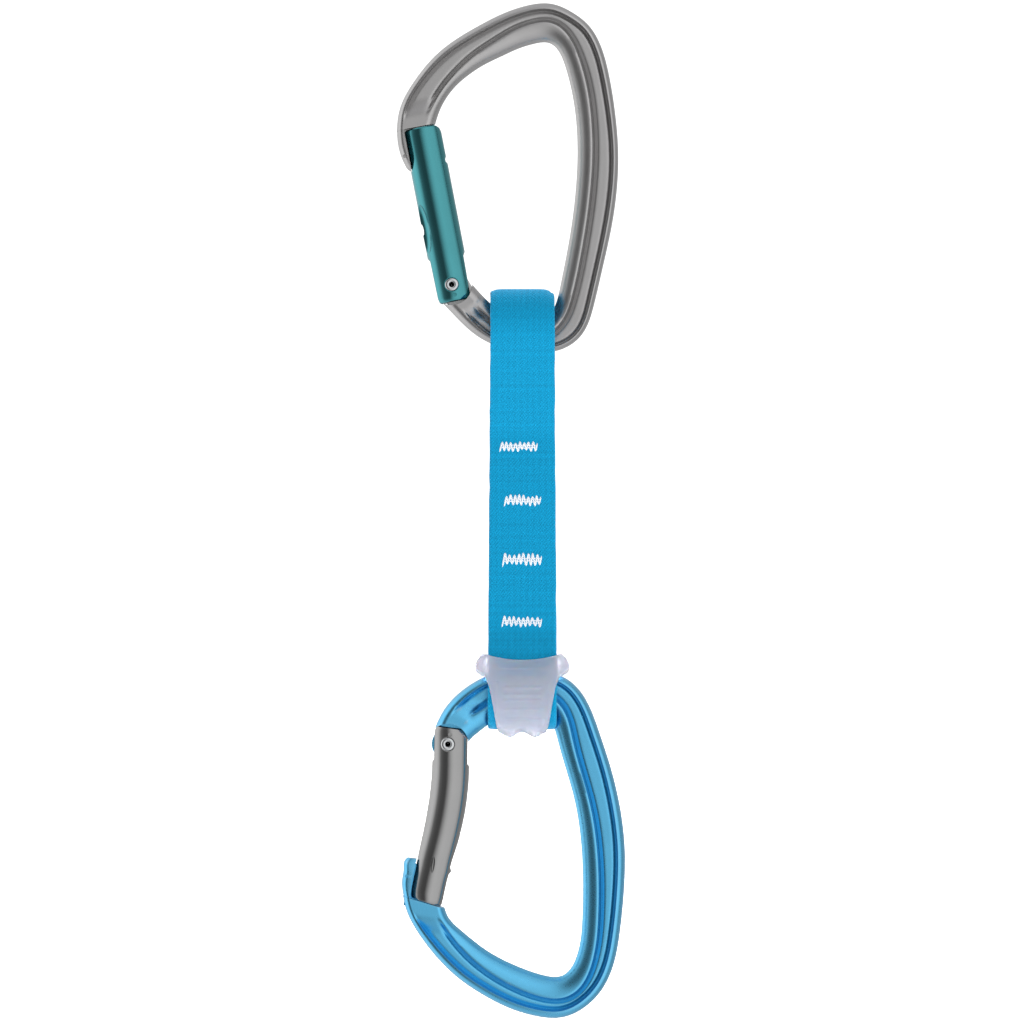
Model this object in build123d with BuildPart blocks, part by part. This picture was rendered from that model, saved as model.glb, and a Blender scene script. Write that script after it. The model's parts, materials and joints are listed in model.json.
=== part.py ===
"""Climbing quickdraw: two hot-forged keylock carabiners joined by a sewn webbing sling.

Millimetres. +Z is up, +X is the spine side, and both carabiners lie in the XZ plane.
The origin is the point of the upper basket that hangs on the bolt hanger.
"""
import math
import os

from build123d import *

# ---------------------------------------------------------------- driving dimensions
# Carabiner frames
frame_length = 96.0          # overall length of each carabiner
frame_depth = 8.4            # thickness of both frames along Y
frame_round = 2.6            # rounding of the frames' long edges
web_thickness = 3.6          # what is left between the two side pockets
pocket_rim = 2.0             # from the outer edge to the pocket
pocket_flange = 4.2          # from the inner edge to the pocket
tang_thickness = 4.0         # flat tang that carries the gate
tang_radius = 4.4            # round of the tang about the rivet
tang_root = 1.5              # how far the tang runs on into the bar
cam_height = 3.4             # flat on the tang that the push rod bears on
beak_thickness = 2.0         # beak of the nose, outside the gate
beak_depth = 6.4
nose_block = 3.0             # height of the nose's root above the gate's end
tongue_thickness = 3.2       # keylock tongue of the nose
tongue_reach = 1.5           # how far the tongue passes the middle of the gate

# Gates
gate_diameter = 10.4
gate_heel = 4.7              # from the rivet to the blunt end behind it
lower_gate_bend = 10.3       # from the rivet to the bend of the lower gate
lower_gate_bow = 2.0         # how far that bend stands to the inside
lower_gate_curve = 55.0      # radius of the bend
gate_bore_depth = 23.0       # from the rivet to the bottom of the bore
key_depth = 11.4             # how far the keylock slot runs into the gate

# Rivets
rivet_diameter = 2.6
rivet_head = 3.8
rivet_head_height = 0.6
rivet_dimple = 1.5

# Push rods and springs
push_rod_diameter = 4.6
push_rod_length = 3.2
push_rod_stem = 2.6
push_rod_stem_length = 3.0
spring_wire = 0.45
spring_turns = 9

# Sling
webbing_width = 17.8
webbing_thickness = 1.9
bar_spacing = 101.1          # between the axes of the two eyes
upper_eye_length = 29.5      # from the upper axis to where the two plies come together
lower_eye_length = 17.6
upper_eye_slack = 0.8        # how much looser the upper eye is than the lower one
eye_corner = 0.4             # blunt end of an eye where its plies meet
tack_length = 10.6
tack_height = 3.4
tack_places = (0.06, 0.33, 0.63, 0.94)    # down the sewn length
tack_zigzags = 9
thread_width = 0.45
thread_height = 0.35

# Rubber keeper
keeper_wall = 1.3
keeper_height = 11.0         # from the lower axis to the keeper's top edge
keeper_shoulder = 1.5        # how far the top edge stands out beside the webbing
keeper_ear = 4.1             # how far the ears stand out beside the webbing
keeper_ear_slope = 3.6       # from the top edge down to the tips of the ears
keeper_waist = 1.4           # how far the front draws in from the webbing's edge
keeper_lip = 1.0             # how far the keeper hangs below the webbing

# Clearances
running_gap = 0.05           # radial, of a gate on its rivet
bore_gap = 0.1               # radial, of a push rod in its bore
side_gap = 0.2               # of the tang in its fork and the tongue in its slot
swing_gap = 0.5              # between a gate and the frame that it swings past
eye_gap = 0.4                # between an eye of the sling and the bar inside it
turn_gap = 0.1               # between the sling's eye and its sewn body
keeper_gap = 0.1             # between the keeper and the webbing

# Frame outlines in (X, Z), from the nose round the basket and the spine to the tang,
# drawn for a carabiner of drawn_length. The upper one is drawn from the point of its
# basket, and the lower one from the axis of the eye that it hangs in.
drawn_length = 96.0
upper_outer_drawn = [
    (-40.6, -20.5), (-36.5, -11.1), (-25.0, 0.7), (-11.5, 8.1), (0.5, 10.7),
    (11.3, 5.4), (17.3, -8.4), (20.0, -30.0), (17.6, -52.0), (13.2, -72.4), (9.4, -81.2),
    (1.5, -85.0), (-7.5, -84.9), (-16.5, -82.2), (-24.2, -76.0), (-29.8, -70.3),
]
upper_inner_drawn = [
    (-30.2, -22.2), (-27.5, -15.5), (-15.9, -5.6), (-4.7, -0.5), (0.0, 0.0),
    (4.2, -3.4), (7.3, -14.0), (8.8, -30.0), (7.2, -50.5), (4.6, -64.6),
    (3.2, -72.0), (-3.0, -77.2), (-9.5, -76.0), (-19.6, -69.2),
]
upper_bar_drawn = (-6.45, -78.1)
upper_rivet_drawn = (-25.8, -66.6)
upper_gate_lean = 10.9       # degrees, to the outside towards the nose
lower_outer_drawn = [
    (-33.0, -58.8), (-27.7, -67.0), (-18.0, -77.4), (-5.7, -84.8), (8.4, -88.8),
    (19.8, -83.7), (25.6, -70.8), (28.2, -46.8), (25.8, -25.3), (19.4, -5.4),
    (14.6, 3.0), (7.4, 5.9), (0.0, 7.0), (-8.6, 5.8), (-17.4, 0.5), (-24.2, -8.4),
]
lower_inner_drawn = [
    (-22.1, -58.0), (-18.8, -62.6), (-8.4, -70.8), (2.4, -75.8), (10.0, -77.4),
    (14.8, -72.1), (16.6, -54.8), (15.3, -33.8), (12.2, -21.0), (10.7, -9.8),
    (8.3, -5.7), (2.0, -4.2), (-3.0, -4.5), (-14.0, -10.8),
]
lower_rivet_drawn = (-20.4, -13.3)
lower_gate_lean = 8.1

gate_radius = gate_diameter / 2
gate_bore = push_rod_diameter + 2 * bore_gap
push_rod_foot = cam_height + side_gap
spring_foot = push_rod_foot + push_rod_length
head_seat = gate_radius - rivet_head_height
both_plies = 2 * webbing_thickness


def place(drawn, origin=(0, 0)):
    """Drawn points at the frame's real size, moved to their origin."""
    scale = frame_length / drawn_length
    return [(origin[0] + scale * x, origin[1] + scale * z) for x, z in drawn]


def bar_reach(curve, bar, near, far):
    """Farthest that a bar's rounded corner stands from its axis, near to far beside the middle."""
    reach = 0
    for step in range(401):
        point = curve @ (step / 400)
        if near <= abs(point.X - bar[0]) <= far and abs(point.Y - bar[1]) < 2 * frame_depth:
            height = abs(point.Y - bar[1]) - frame_round
            reach = max(reach, math.hypot(height, frame_depth / 2 - frame_round) + frame_round)
    return reach


def inset(points, index, depth):
    """An outline point moved square to the outline, to the right of its direction."""
    (before_x, before_z), (after_x, after_z) = points[index - 1], points[index + 1]
    length = math.hypot(after_x - before_x, after_z - before_z)
    return (
        points[index][0] + depth * (after_z - before_z) / length,
        points[index][1] - depth * (after_x - before_x) / length,
    )


def gate_plane(rivet, lean, side):
    """Sketch plane in a gate's middle: Y runs from the rivet to the nose, X to the inside."""
    angle = math.radians(lean)
    return Plane(
        origin=(rivet[0], 0, rivet[1]),
        x_dir=(math.cos(angle), 0, side * math.sin(angle)),
        z_dir=(0, -side, 0),
    )


def square_to_gate(plane, height):
    """Plane square to a gate's axis, at a height above its rivet."""
    return Plane(
        origin=plane.from_local_coords((0, height, 0)),
        x_dir=plane.x_dir,
        z_dir=plane.y_dir,
    )


def reach_of_gate(plane, inner):
    """Length of a gate from its rivet to the nose, which the frame's inner outline starts at."""
    nose_x, nose_z = inner[0]
    return plane.to_local_coords(Vector(nose_x, 0, nose_z)).Y - swing_gap


def save(piece, name):
    """Label a finished piece and write it under its node's name."""
    piece.part.label = name
    export_step(piece.part, f"parts/{name}.step")


# ---------------------------------------------------------- places worked out from those
upper_outer = place(upper_outer_drawn)
upper_inner = place(upper_inner_drawn)
(upper_bar,) = place([upper_bar_drawn])
(upper_rivet,) = place([upper_rivet_drawn])
sling_x = upper_bar[0]
lower_bar = (sling_x, upper_bar[1] - bar_spacing)
lower_outer = place(lower_outer_drawn, lower_bar)
lower_inner = place(lower_inner_drawn, lower_bar)
(lower_rivet,) = place([lower_rivet_drawn], lower_bar)

upper_gate_plane = gate_plane(upper_rivet, upper_gate_lean, 1)
lower_gate_plane = gate_plane(lower_rivet, lower_gate_lean, -1)
upper_gate_reach = reach_of_gate(upper_gate_plane, upper_inner)
lower_gate_reach = reach_of_gate(lower_gate_plane, lower_inner)

webbing_edge = webbing_width / 2
upper_outside, upper_inside = Spline(*upper_outer), Spline(*upper_inner)
lower_outside, lower_inside = Spline(*lower_outer), Spline(*lower_inner)
upper_eye_radius = eye_gap + upper_eye_slack + max(
    bar_reach(upper_outside, upper_bar, 0, webbing_edge + eye_gap),
    bar_reach(upper_inside, upper_bar, 0, webbing_edge + eye_gap),
)
lower_eye_radius = eye_gap + max(
    bar_reach(lower_outside, lower_bar, 0, webbing_edge + eye_gap),
    bar_reach(lower_inside, lower_bar, 0, webbing_edge + eye_gap),
)
sewn_top_z = upper_bar[1] - upper_eye_length
sewn_bottom_z = lower_bar[1] + lower_eye_length


# ------------------------------------------------------------------------- carabiner
def forge_frame(outer, inner, plane, reach, side):
    """Forged frame: rounded bar with side pockets, keylock nose and gate tang."""
    nose_end = reach + swing_gap
    key_end = nose_end - key_depth
    rim = [inset(outer, index, side * pocket_rim) for index in range(1, len(outer) - 1)]
    flange = [inset(inner, index, -side * pocket_flange) for index in range(1, len(inner) - 1)]
    with BuildPart() as frame:
        with BuildSketch(Plane.XZ.offset(-frame_depth / 2)):
            with BuildLine():
                outside = Spline(*outer)
                inside = Spline(*inner)
                Line(outside @ 0, inside @ 0)
                Line(outside @ 1, inside @ 1)
            make_face()
        extrude(amount=frame_depth)
        fillet(frame.edges().filter_by(GeomType.BSPLINE), radius=frame_round)
        # Side pockets, which leave the web of the I-beam round the basket and the spine.
        for face in (1, -1):
            with BuildSketch(Plane.XZ.offset(face * web_thickness / 2)):
                with BuildLine():
                    pocket_outside = Spline(*rim)
                    pocket_inside = Spline(*flange)
                    Line(pocket_outside @ 0, pocket_inside @ 0)
                    Line(pocket_outside @ 1, pocket_inside @ 1)
                make_face()
            extrude(amount=face * frame_depth, mode=Mode.SUBTRACT)
        # The full thickness stops clear of the gate's heel, and only the tang goes on.
        with BuildSketch(plane):
            Circle(gate_radius + swing_gap)
        extrude(amount=frame_depth, both=True, mode=Mode.SUBTRACT)
        with BuildSketch(plane):
            Circle(tang_radius)
            with Locations((0, cam_height + tang_radius / 2)):
                Rectangle(2 * tang_radius, tang_radius, mode=Mode.SUBTRACT)
            with Locations((0.2 * tang_radius, 0)):
                Rectangle(
                    1.2 * tang_radius,
                    gate_radius + swing_gap + tang_root,
                    align=(Align.CENTER, Align.MAX),
                )
        extrude(amount=tang_thickness / 2, both=True)
        with BuildSketch(plane):
            Circle(rivet_diameter / 2)
        extrude(amount=frame_depth, both=True, mode=Mode.SUBTRACT)
        # Nose: a beak outside the gate, and a tongue that the gate's slot closes over.
        with BuildSketch(plane):
            with BuildLine():
                back = ThreePointArc(
                    (-gate_radius - side_gap, key_end),
                    (-gate_radius - beak_thickness, nose_end - key_depth / 3),
                    (-gate_radius - beak_thickness / 2, nose_end + nose_block),
                )
                Polyline(
                    back @ 1,
                    (0.75 * gate_radius, nose_end + nose_block / 2),
                    (0.8 * gate_radius, nose_end),
                    (-gate_radius - side_gap, nose_end),
                    back @ 0,
                )
            make_face()
        extrude(amount=beak_depth / 2, both=True)
        with BuildSketch(plane):
            with Locations((tongue_reach, nose_end + side_gap)):
                Rectangle(
                    tongue_reach + gate_radius + 2 * side_gap,
                    key_depth,
                    align=(Align.MAX, Align.MAX),
                )
        extrude(amount=tongue_thickness / 2, both=True)
    return frame


def turn_gate(plane, reach, bend, bow):
    """Round gate, bent if it has a bow, with a fork, a spring bore and a key slot."""
    reach_to_bend = math.hypot(bow, bend)
    heel = (-gate_heel * bow / reach_to_bend, -gate_heel * bend / reach_to_bend)
    nose = (0, reach)
    with BuildPart() as gate:
        with BuildLine(plane) as axis:
            if bow:
                FilletPolyline(heel, (bow, bend), nose, radius=lower_gate_curve)
            else:
                Line(heel, nose)
        with BuildSketch(Plane(origin=axis.line @ 0, x_dir=plane.z_dir, z_dir=axis.line % 0)):
            Circle(gate_radius)
        sweep(path=axis.line)
        # The heel is rounded about the rivet, so that it turns clear of the frame.
        with BuildSketch(plane):
            with Locations((0, -1.5 * gate_radius)):
                Rectangle(4 * gate_radius, 3 * gate_radius)
            Circle(gate_radius, mode=Mode.SUBTRACT)
        extrude(amount=gate_diameter, both=True, mode=Mode.SUBTRACT)
        with BuildSketch(plane):
            with Locations((0, tang_radius + swing_gap)):
                Rectangle(4 * gate_radius, 4 * gate_radius, align=(Align.CENTER, Align.MAX))
        extrude(amount=tang_thickness / 2 + side_gap, both=True, mode=Mode.SUBTRACT)
        with BuildSketch(square_to_gate(plane, cam_height)):
            Circle(gate_bore / 2)
        extrude(amount=gate_bore_depth - cam_height, mode=Mode.SUBTRACT)
        # Keylock slot, open to the nose end and to the outside.
        with BuildSketch(plane):
            with Locations((tongue_reach + 2 * side_gap, reach - key_depth)):
                Rectangle(2 * gate_diameter, gate_diameter + key_depth, align=(Align.MAX, Align.MIN))
        extrude(amount=tongue_thickness / 2 + side_gap, both=True, mode=Mode.SUBTRACT)
        # Rivet hole, with a seat for each head.
        with BuildSketch(plane):
            Circle(rivet_diameter / 2 + running_gap)
        extrude(amount=gate_diameter, both=True, mode=Mode.SUBTRACT)
        for face in (1, -1):
            with BuildSketch(plane.offset(face * (head_seat - running_gap))):
                Circle(rivet_head / 2 + side_gap)
            extrude(amount=face * gate_radius, mode=Mode.SUBTRACT)
    return gate


def head_rivet(plane):
    """Rivet with a dimpled head at each side of the gate's fork."""
    with BuildPart() as rivet:
        with BuildSketch(plane):
            Circle(rivet_diameter / 2)
        extrude(amount=head_seat + rivet_head_height / 2, both=True)
        for face in (1, -1):
            with BuildSketch(plane.offset(face * head_seat)):
                Circle(rivet_head / 2)
            extrude(amount=face * rivet_head_height)
            with BuildSketch(plane.offset(face * (gate_radius - rivet_head_height / 2))):
                Circle(rivet_dimple / 2)
            extrude(amount=face * rivet_head_height, mode=Mode.SUBTRACT)
    return rivet


def turn_push_rod(plane):
    """Push rod: a foot on the tang's flat, and a stem inside the spring."""
    with BuildPart() as rod:
        with BuildSketch(square_to_gate(plane, push_rod_foot)):
            Circle(push_rod_diameter / 2)
        extrude(amount=push_rod_length)
        with BuildSketch(square_to_gate(plane, spring_foot)):
            Circle(push_rod_stem / 2)
        extrude(amount=push_rod_stem_length)
    return rod


def wind_spring(plane):
    """Compression spring between the push rod and the bottom of the gate's bore."""
    coil_height = gate_bore_depth - spring_foot - spring_wire - 2 * running_gap
    coil_radius = push_rod_diameter / 2 - spring_wire / 2
    base = square_to_gate(plane, spring_foot + spring_wire / 2 + running_gap)
    with BuildPart() as spring:
        with BuildLine() as wire:
            Helix(
                pitch=coil_height / spring_turns,
                height=coil_height,
                radius=coil_radius,
                center=base.origin,
                direction=base.z_dir,
            )
        with BuildSketch(Plane(origin=wire.line @ 0, z_dir=wire.line % 0)):
            Circle(spring_wire / 2)
        sweep(path=wire.line, is_frenet=True)
    return spring


# ----------------------------------------------------------------------------- sling
def eye_profile(bar, radius, apex_z, apex_width):
    """Drop-shaped sketch in the YZ plane: round about the bar, drawn in to the apex."""
    with BuildSketch(Plane.YZ.offset(sling_x)) as profile:
        with Locations((0, bar[1])):
            Circle(radius)
        with Locations((0, apex_z)):
            Rectangle(apex_width, apex_width)
        make_hull()
    return profile.sketch


with BuildPart() as sling_upper_eye:
    apex_z = sewn_top_z + turn_gap + both_plies / 2
    drop = eye_profile(upper_bar, upper_eye_radius + webbing_thickness, apex_z, both_plies)
    extrude(drop, amount=webbing_width / 2, both=True)
    drop = eye_profile(upper_bar, upper_eye_radius, apex_z + webbing_thickness, eye_corner)
    extrude(drop, amount=webbing_width, both=True, mode=Mode.SUBTRACT)

with BuildPart() as sling_body:
    with BuildSketch(Plane.YZ.offset(sling_x)):
        with Locations((0, (sewn_top_z + sewn_bottom_z) / 2)):
            Rectangle(both_plies, sewn_top_z - sewn_bottom_z)
    extrude(amount=webbing_width / 2, both=True)
    apex_z = sewn_bottom_z - both_plies / 2
    drop = eye_profile(lower_bar, lower_eye_radius + webbing_thickness, apex_z, both_plies)
    extrude(drop, amount=webbing_width / 2, both=True)
    drop = eye_profile(lower_bar, lower_eye_radius, apex_z - webbing_thickness, eye_corner)
    extrude(drop, amount=webbing_width, both=True, mode=Mode.SUBTRACT)


def sew_bar_tack(share):
    """Bar tack at a share of the sewn length: a zigzag on the front and on the back."""
    level = sewn_top_z + share * (sewn_bottom_z - sewn_top_z)
    steps = 2 * tack_zigzags
    zigzag = [
        (
            sling_x + tack_length * (step / steps - 0.5),
            level + tack_height * (step % 2 - 0.5),
        )
        for step in range(steps + 1)
    ]
    with BuildPart() as tack:
        for face in (1, -1):
            with BuildSketch(Plane.XZ.offset(face * webbing_thickness)):
                with BuildLine():
                    Polyline(*zigzag)
                trace(line_width=thread_width)
            extrude(amount=face * thread_height)
    return tack


# ---------------------------------------------------------------------------- keeper
keeper_radius = lower_eye_radius + webbing_thickness + keeper_gap
keeper_ply = both_plies + 2 * keeper_gap
keeper_top_z = lower_bar[1] + keeper_height
keeper_bottom_z = lower_bar[1] - keeper_radius - keeper_wall - keeper_lip
ear_reach = bar_reach(lower_outside, lower_bar, webbing_edge, webbing_edge + keeper_ear)
ear_bottom_z = lower_bar[1] + ear_reach + eye_gap

with BuildPart() as keeper:
    apex_z = sewn_bottom_z - both_plies / 2
    drop = eye_profile(lower_bar, keeper_radius + keeper_wall, apex_z, keeper_ply + 2 * keeper_wall)
    extrude(drop, amount=webbing_edge + keeper_ear, both=True)
    drop = eye_profile(lower_bar, keeper_radius, apex_z, keeper_ply)
    extrude(drop, amount=webbing_edge + keeper_gap, both=True, mode=Mode.SUBTRACT)
    with BuildSketch(Plane.XZ.offset(-2 * keeper_radius)):
        right_side = [
            (webbing_edge + keeper_shoulder, keeper_top_z),
            (webbing_edge + keeper_ear, keeper_top_z - keeper_ear_slope),
            (webbing_edge + keeper_shoulder, ear_bottom_z),
            (webbing_edge, ear_bottom_z),
            (webbing_edge - keeper_waist, lower_bar[1]),
            (webbing_edge - keeper_waist - keeper_lip, keeper_bottom_z),
        ]
        left_side = [(-across, height) for across, height in reversed(right_side)]
        with BuildLine():
            Polyline(
                *[(sling_x + across, height) for across, height in right_side + left_side],
                close=True,
            )
        make_face()
    extrude(amount=4 * keeper_radius, mode=Mode.INTERSECT)


# --------------------------------------------------------------------- write the pieces
os.makedirs("parts", exist_ok=True)

upper_frame = forge_frame(upper_outer, upper_inner, upper_gate_plane, upper_gate_reach, 1)
lower_frame = forge_frame(lower_outer, lower_inner, lower_gate_plane, lower_gate_reach, -1)
save(upper_frame, "upper_frame")
save(lower_frame, "lower_frame")
save(turn_gate(upper_gate_plane, upper_gate_reach, lower_gate_bend, 0), "upper_gate")
save(turn_gate(lower_gate_plane, lower_gate_reach, lower_gate_bend, lower_gate_bow), "lower_gate")
for end, plane in (("upper", upper_gate_plane), ("lower", lower_gate_plane)):
    save(head_rivet(plane), f"{end}_gate_rivet")
    save(turn_push_rod(plane), f"{end}_gate_plunger")
    save(wind_spring(plane), f"{end}_gate_spring")

save(sling_upper_eye, "sling_upper_eye")
save(sling_body, "sling_body")
for number, share in enumerate(tack_places, start=1):
    save(sew_bar_tack(share), f"bar_tack_{number}")
save(keeper, "keeper")
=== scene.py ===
"""Looks of a climbing quickdraw: two forged carabiners, a sewn sling and a rubber keeper."""

import json
import math
import random

import bmesh
import bpy
import numpy as np
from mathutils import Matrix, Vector


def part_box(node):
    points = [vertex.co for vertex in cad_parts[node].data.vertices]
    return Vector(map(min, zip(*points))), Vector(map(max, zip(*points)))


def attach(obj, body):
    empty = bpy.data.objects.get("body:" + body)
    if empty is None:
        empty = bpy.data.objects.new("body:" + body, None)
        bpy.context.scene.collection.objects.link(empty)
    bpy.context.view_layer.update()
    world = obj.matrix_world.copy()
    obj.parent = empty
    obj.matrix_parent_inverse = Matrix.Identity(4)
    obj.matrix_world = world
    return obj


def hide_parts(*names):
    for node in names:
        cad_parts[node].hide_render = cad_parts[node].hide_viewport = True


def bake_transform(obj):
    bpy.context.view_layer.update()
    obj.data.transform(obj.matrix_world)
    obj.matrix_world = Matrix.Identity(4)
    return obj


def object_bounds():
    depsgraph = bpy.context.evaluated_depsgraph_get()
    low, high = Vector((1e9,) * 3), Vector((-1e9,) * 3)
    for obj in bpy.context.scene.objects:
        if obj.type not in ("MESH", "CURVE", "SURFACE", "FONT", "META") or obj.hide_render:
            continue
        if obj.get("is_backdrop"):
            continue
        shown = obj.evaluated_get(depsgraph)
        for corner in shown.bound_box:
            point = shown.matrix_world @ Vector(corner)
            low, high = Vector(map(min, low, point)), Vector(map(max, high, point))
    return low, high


bl_info = {
    "name": "Climbing quickdraw",
    "version": (1, 0, 0),
    "blender": (4, 5, 0),
    "location": "3D View > Sidebar > Quickdraw",
    "description": "Builds the frames, gates, sling, stitching and keeper of a quickdraw",
    "category": "Object",
}

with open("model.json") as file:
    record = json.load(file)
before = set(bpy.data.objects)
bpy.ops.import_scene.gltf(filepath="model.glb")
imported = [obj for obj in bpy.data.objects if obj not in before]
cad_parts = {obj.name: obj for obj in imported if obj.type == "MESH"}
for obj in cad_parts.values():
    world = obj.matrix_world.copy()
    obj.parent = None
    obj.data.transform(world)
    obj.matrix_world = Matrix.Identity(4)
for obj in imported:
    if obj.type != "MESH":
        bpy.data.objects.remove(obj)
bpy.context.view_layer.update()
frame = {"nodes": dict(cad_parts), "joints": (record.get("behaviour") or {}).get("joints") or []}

MM = 0.001
WELD = 0.002 * MM            # points closer together than this become one
joint_rows = {joint["name"]: joint for joint in frame["joints"]}


# ------------------------------------------------------------- places read from the frame
def joint_place(name):
    """Where a joint turns, in millimetres."""
    return np.array(joint_rows[name]["pos_m"]) / MM


def node_box(node):
    """Lowest and highest corner of a CAD node, in millimetres."""
    low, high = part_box(node)
    return np.array(low) / MM, np.array(high) / MM


def node_points(node):
    """Every vertex of a CAD node, in millimetres."""
    return np.array([vertex.co for vertex in frame["nodes"][node].data.vertices]) / MM


END_LEAN = {"upper": 0.0, "lower": 0.15}    # slope across each gate's end


def gate_place(end):
    """The rivet, directions and lengths that everything on one gate is placed by."""
    rivet = joint_place(f"{end}_gate_hinge")
    along = np.array(joint_rows[f"{end}_push_rod_slide"]["axis"], float)
    inside = math.copysign(1, along[2]) * np.array([along[2], 0, -along[0]])
    reach = ((node_points(f"{end}_gate") - rivet) @ along).max()
    low, high = node_box(f"{end}_gate")
    cam = ((node_points(f"{end}_gate_plunger") - rivet) @ along).min()
    return {
        "rivet": rivet, "along": along, "inside": inside,
        "reach": reach, "radius": (high - low)[1] / 2, "cam": cam, "lean": END_LEAN[end],
    }


upper_gate_place = gate_place("upper")
lower_gate_place = gate_place("lower")
upper_bar = joint_place("sling_swing")
lower_bar = joint_place("lower_carabiner_swing")
sling_x = upper_bar[0]
frame_half_depth = node_box("upper_frame")[1][1]
basket = np.zeros(3)


def on_gate(place, across, along, depth=0.0):
    """A point beside a gate's axis, along it from the rivet, and through the thickness."""
    return (
        place["rivet"] + across * place["inside"] + along * place["along"]
        + np.array([0, depth, 0])
    )


def linear(hex_colour):
    """An sRGB hex colour turned to linear light."""
    channels = [int(hex_colour[place:place + 2], 16) / 255 for place in (1, 3, 5)]
    return tuple(c / 12.92 if c <= 0.04045 else ((c + 0.055) / 1.055) ** 2.4 for c in channels)


# ------------------------------------------------------------------------------ settings
def size_property(name, description, default_mm, lowest_mm=0.0):
    """A length that a user may change, given in millimetres."""
    return bpy.props.FloatProperty(
        name=name, description=description, default=default_mm * MM, min=lowest_mm * MM,
        unit="LENGTH", precision=5,
    )


def colour_property(name, description, hex_colour):
    """A colour that a user may change."""
    return bpy.props.FloatVectorProperty(
        name=name, description=description, default=linear(hex_colour), size=3,
        min=0.0, max=1.0, subtype="COLOR",
    )


class QuickdrawMetalSettings(bpy.types.PropertyGroup):
    """Sizes and colours of the forged and turned metal."""

    web_half: size_property("Web", "Half of what is left between the two side pockets", 2.2)
    wall: size_property("Pocket wall", "Width of the steep wall at a pocket's edge", 0.55)
    groove: size_property("Groove", "Depth of the groove at the foot of a pocket's wall", 0.5)
    flange_drop: size_property("Flange step", "How far the inner flange lies below the boss", 0.35)
    tang: size_property("Tang", "Thickness of the tang inside the gate's fork", 4.0)
    tongue: size_property("Tongue", "Thickness of the keylock tongue", 3.2)
    beak: size_property("Beak", "Depth of the nose's beak", 8.2)
    flange_slope: size_property("Flange slope", "Width of the flange's slope to the web", 1.2)
    side_gap: size_property("Side gap", "Clearance beside the tang and the tongue", 0.2)
    upper_frame: colour_property("Upper frame", "Grey anodising", "#B9B8B8")
    lower_frame: colour_property("Lower frame", "Blue anodising", "#69C3EE")
    upper_gate: colour_property("Upper gate", "Teal anodising", "#509BA2")
    lower_gate: colour_property("Lower gate", "Grey anodising", "#A0A0A0")
    rivet: colour_property("Rivets", "Stainless steel", "#D5D8DA")


class QuickdrawSlingSettings(bpy.types.PropertyGroup):
    """Sizes and colours of the webbing, the stitching and the keeper."""

    webbing: size_property("Webbing", "Thickness of one ply", 1.9)
    ply_gap: size_property("Ply gap", "Between the two sewn plies", 0.06)
    top_width: size_property("Top width", "Width of the webbing at the upper eye", 17.6)
    bottom_width: size_property("Bottom width", "Width of the webbing at the keeper", 18.9)
    yarn: size_property("Yarn", "Spacing of the webbing's yarns", 0.85)
    thread: size_property("Thread", "Thickness of the sewing thread", 0.46)
    keeper_wall: size_property("Keeper wall", "Thickness of the rubber", 1.3)
    webbing_colour: colour_property("Webbing", "Dyed yarn", "#038DBB")
    thread_colour: colour_property("Thread", "Undyed thread", "#E4E9F0")
    keeper_colour: colour_property("Keeper", "Clear rubber", "#E8E9F4")


class QuickdrawStageSettings(bpy.types.PropertyGroup):
    """The camera and the floor."""

    distance: size_property("Camera distance", "From the camera to the quickdraw", 1562.0)
    view_width: size_property("View width", "What the camera takes in at the quickdraw", 281.2)
    aim_across: size_property("Aim across", "Where the camera looks, across", -9.3, -1000)
    aim_height: size_property("Aim height", "Where the camera looks, upwards", -128.9, -1000)
    floor_drop: size_property("Floor drop", "From the lowest point down to the floor", 45.0)
    floor_colour: colour_property("Floor", "Pale painted floor", "#F4F4F4")


# --------------------------------------------------------------------------- mesh helpers
def new_mesh_object(name, points, faces):
    """A mesh object from points in millimetres, with its faces turned outwards."""
    mesh = bpy.data.meshes.new(name)
    mesh.from_pydata((np.asarray(points) * MM).tolist(), [], faces)
    builder = bmesh.new()
    builder.from_mesh(mesh)
    bmesh.ops.remove_doubles(builder, verts=builder.verts, dist=WELD)
    bmesh.ops.recalc_face_normals(builder, faces=builder.faces)
    builder.to_mesh(mesh)
    builder.free()
    piece = bpy.data.objects.new(name, mesh)
    bpy.context.scene.collection.objects.link(piece)
    return piece


def ring_faces(rings, size, closed=False):
    """Quads that join rings of the same size, each one to the next."""
    faces = []
    for ring in range(rings if closed else rings - 1):
        here, there = ring * size, (ring + 1) % rings * size
        for step in range(size):
            after = (step + 1) % size
            faces.append((here + step, here + after, there + after, there + step))
    return faces


def loft(name, rings):
    """A closed solid through rings of points, with a flat face over each end."""
    size = len(rings[0])
    faces = ring_faces(len(rings), size)
    faces.append(tuple(range(size)))
    faces.append(tuple(range((len(rings) - 1) * size, len(rings) * size)))
    return new_mesh_object(name, np.concatenate(rings), faces)


def set_mesh(piece, mesh):
    """Gives a piece a new mesh and clears the old one away."""
    old = piece.data
    piece.data = mesh
    bpy.data.meshes.remove(old)


def combine(piece, tool, operation):
    """Joins a tool solid to a piece, or cuts it out, and removes the tool."""
    modifier = piece.modifiers.new(operation.lower(), "BOOLEAN")
    modifier.operation = operation
    modifier.solver = "MANIFOLD"
    modifier.object = tool
    apply_modifiers(piece)
    shape = tool.data
    bpy.data.objects.remove(tool)
    bpy.data.meshes.remove(shape)


def apply_modifiers(piece):
    """Puts a piece's modifiers into its mesh."""
    graph = bpy.context.evaluated_depsgraph_get()
    mesh = bpy.data.meshes.new_from_object(piece.evaluated_get(graph))
    piece.modifiers.clear()
    set_mesh(piece, mesh)


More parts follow.
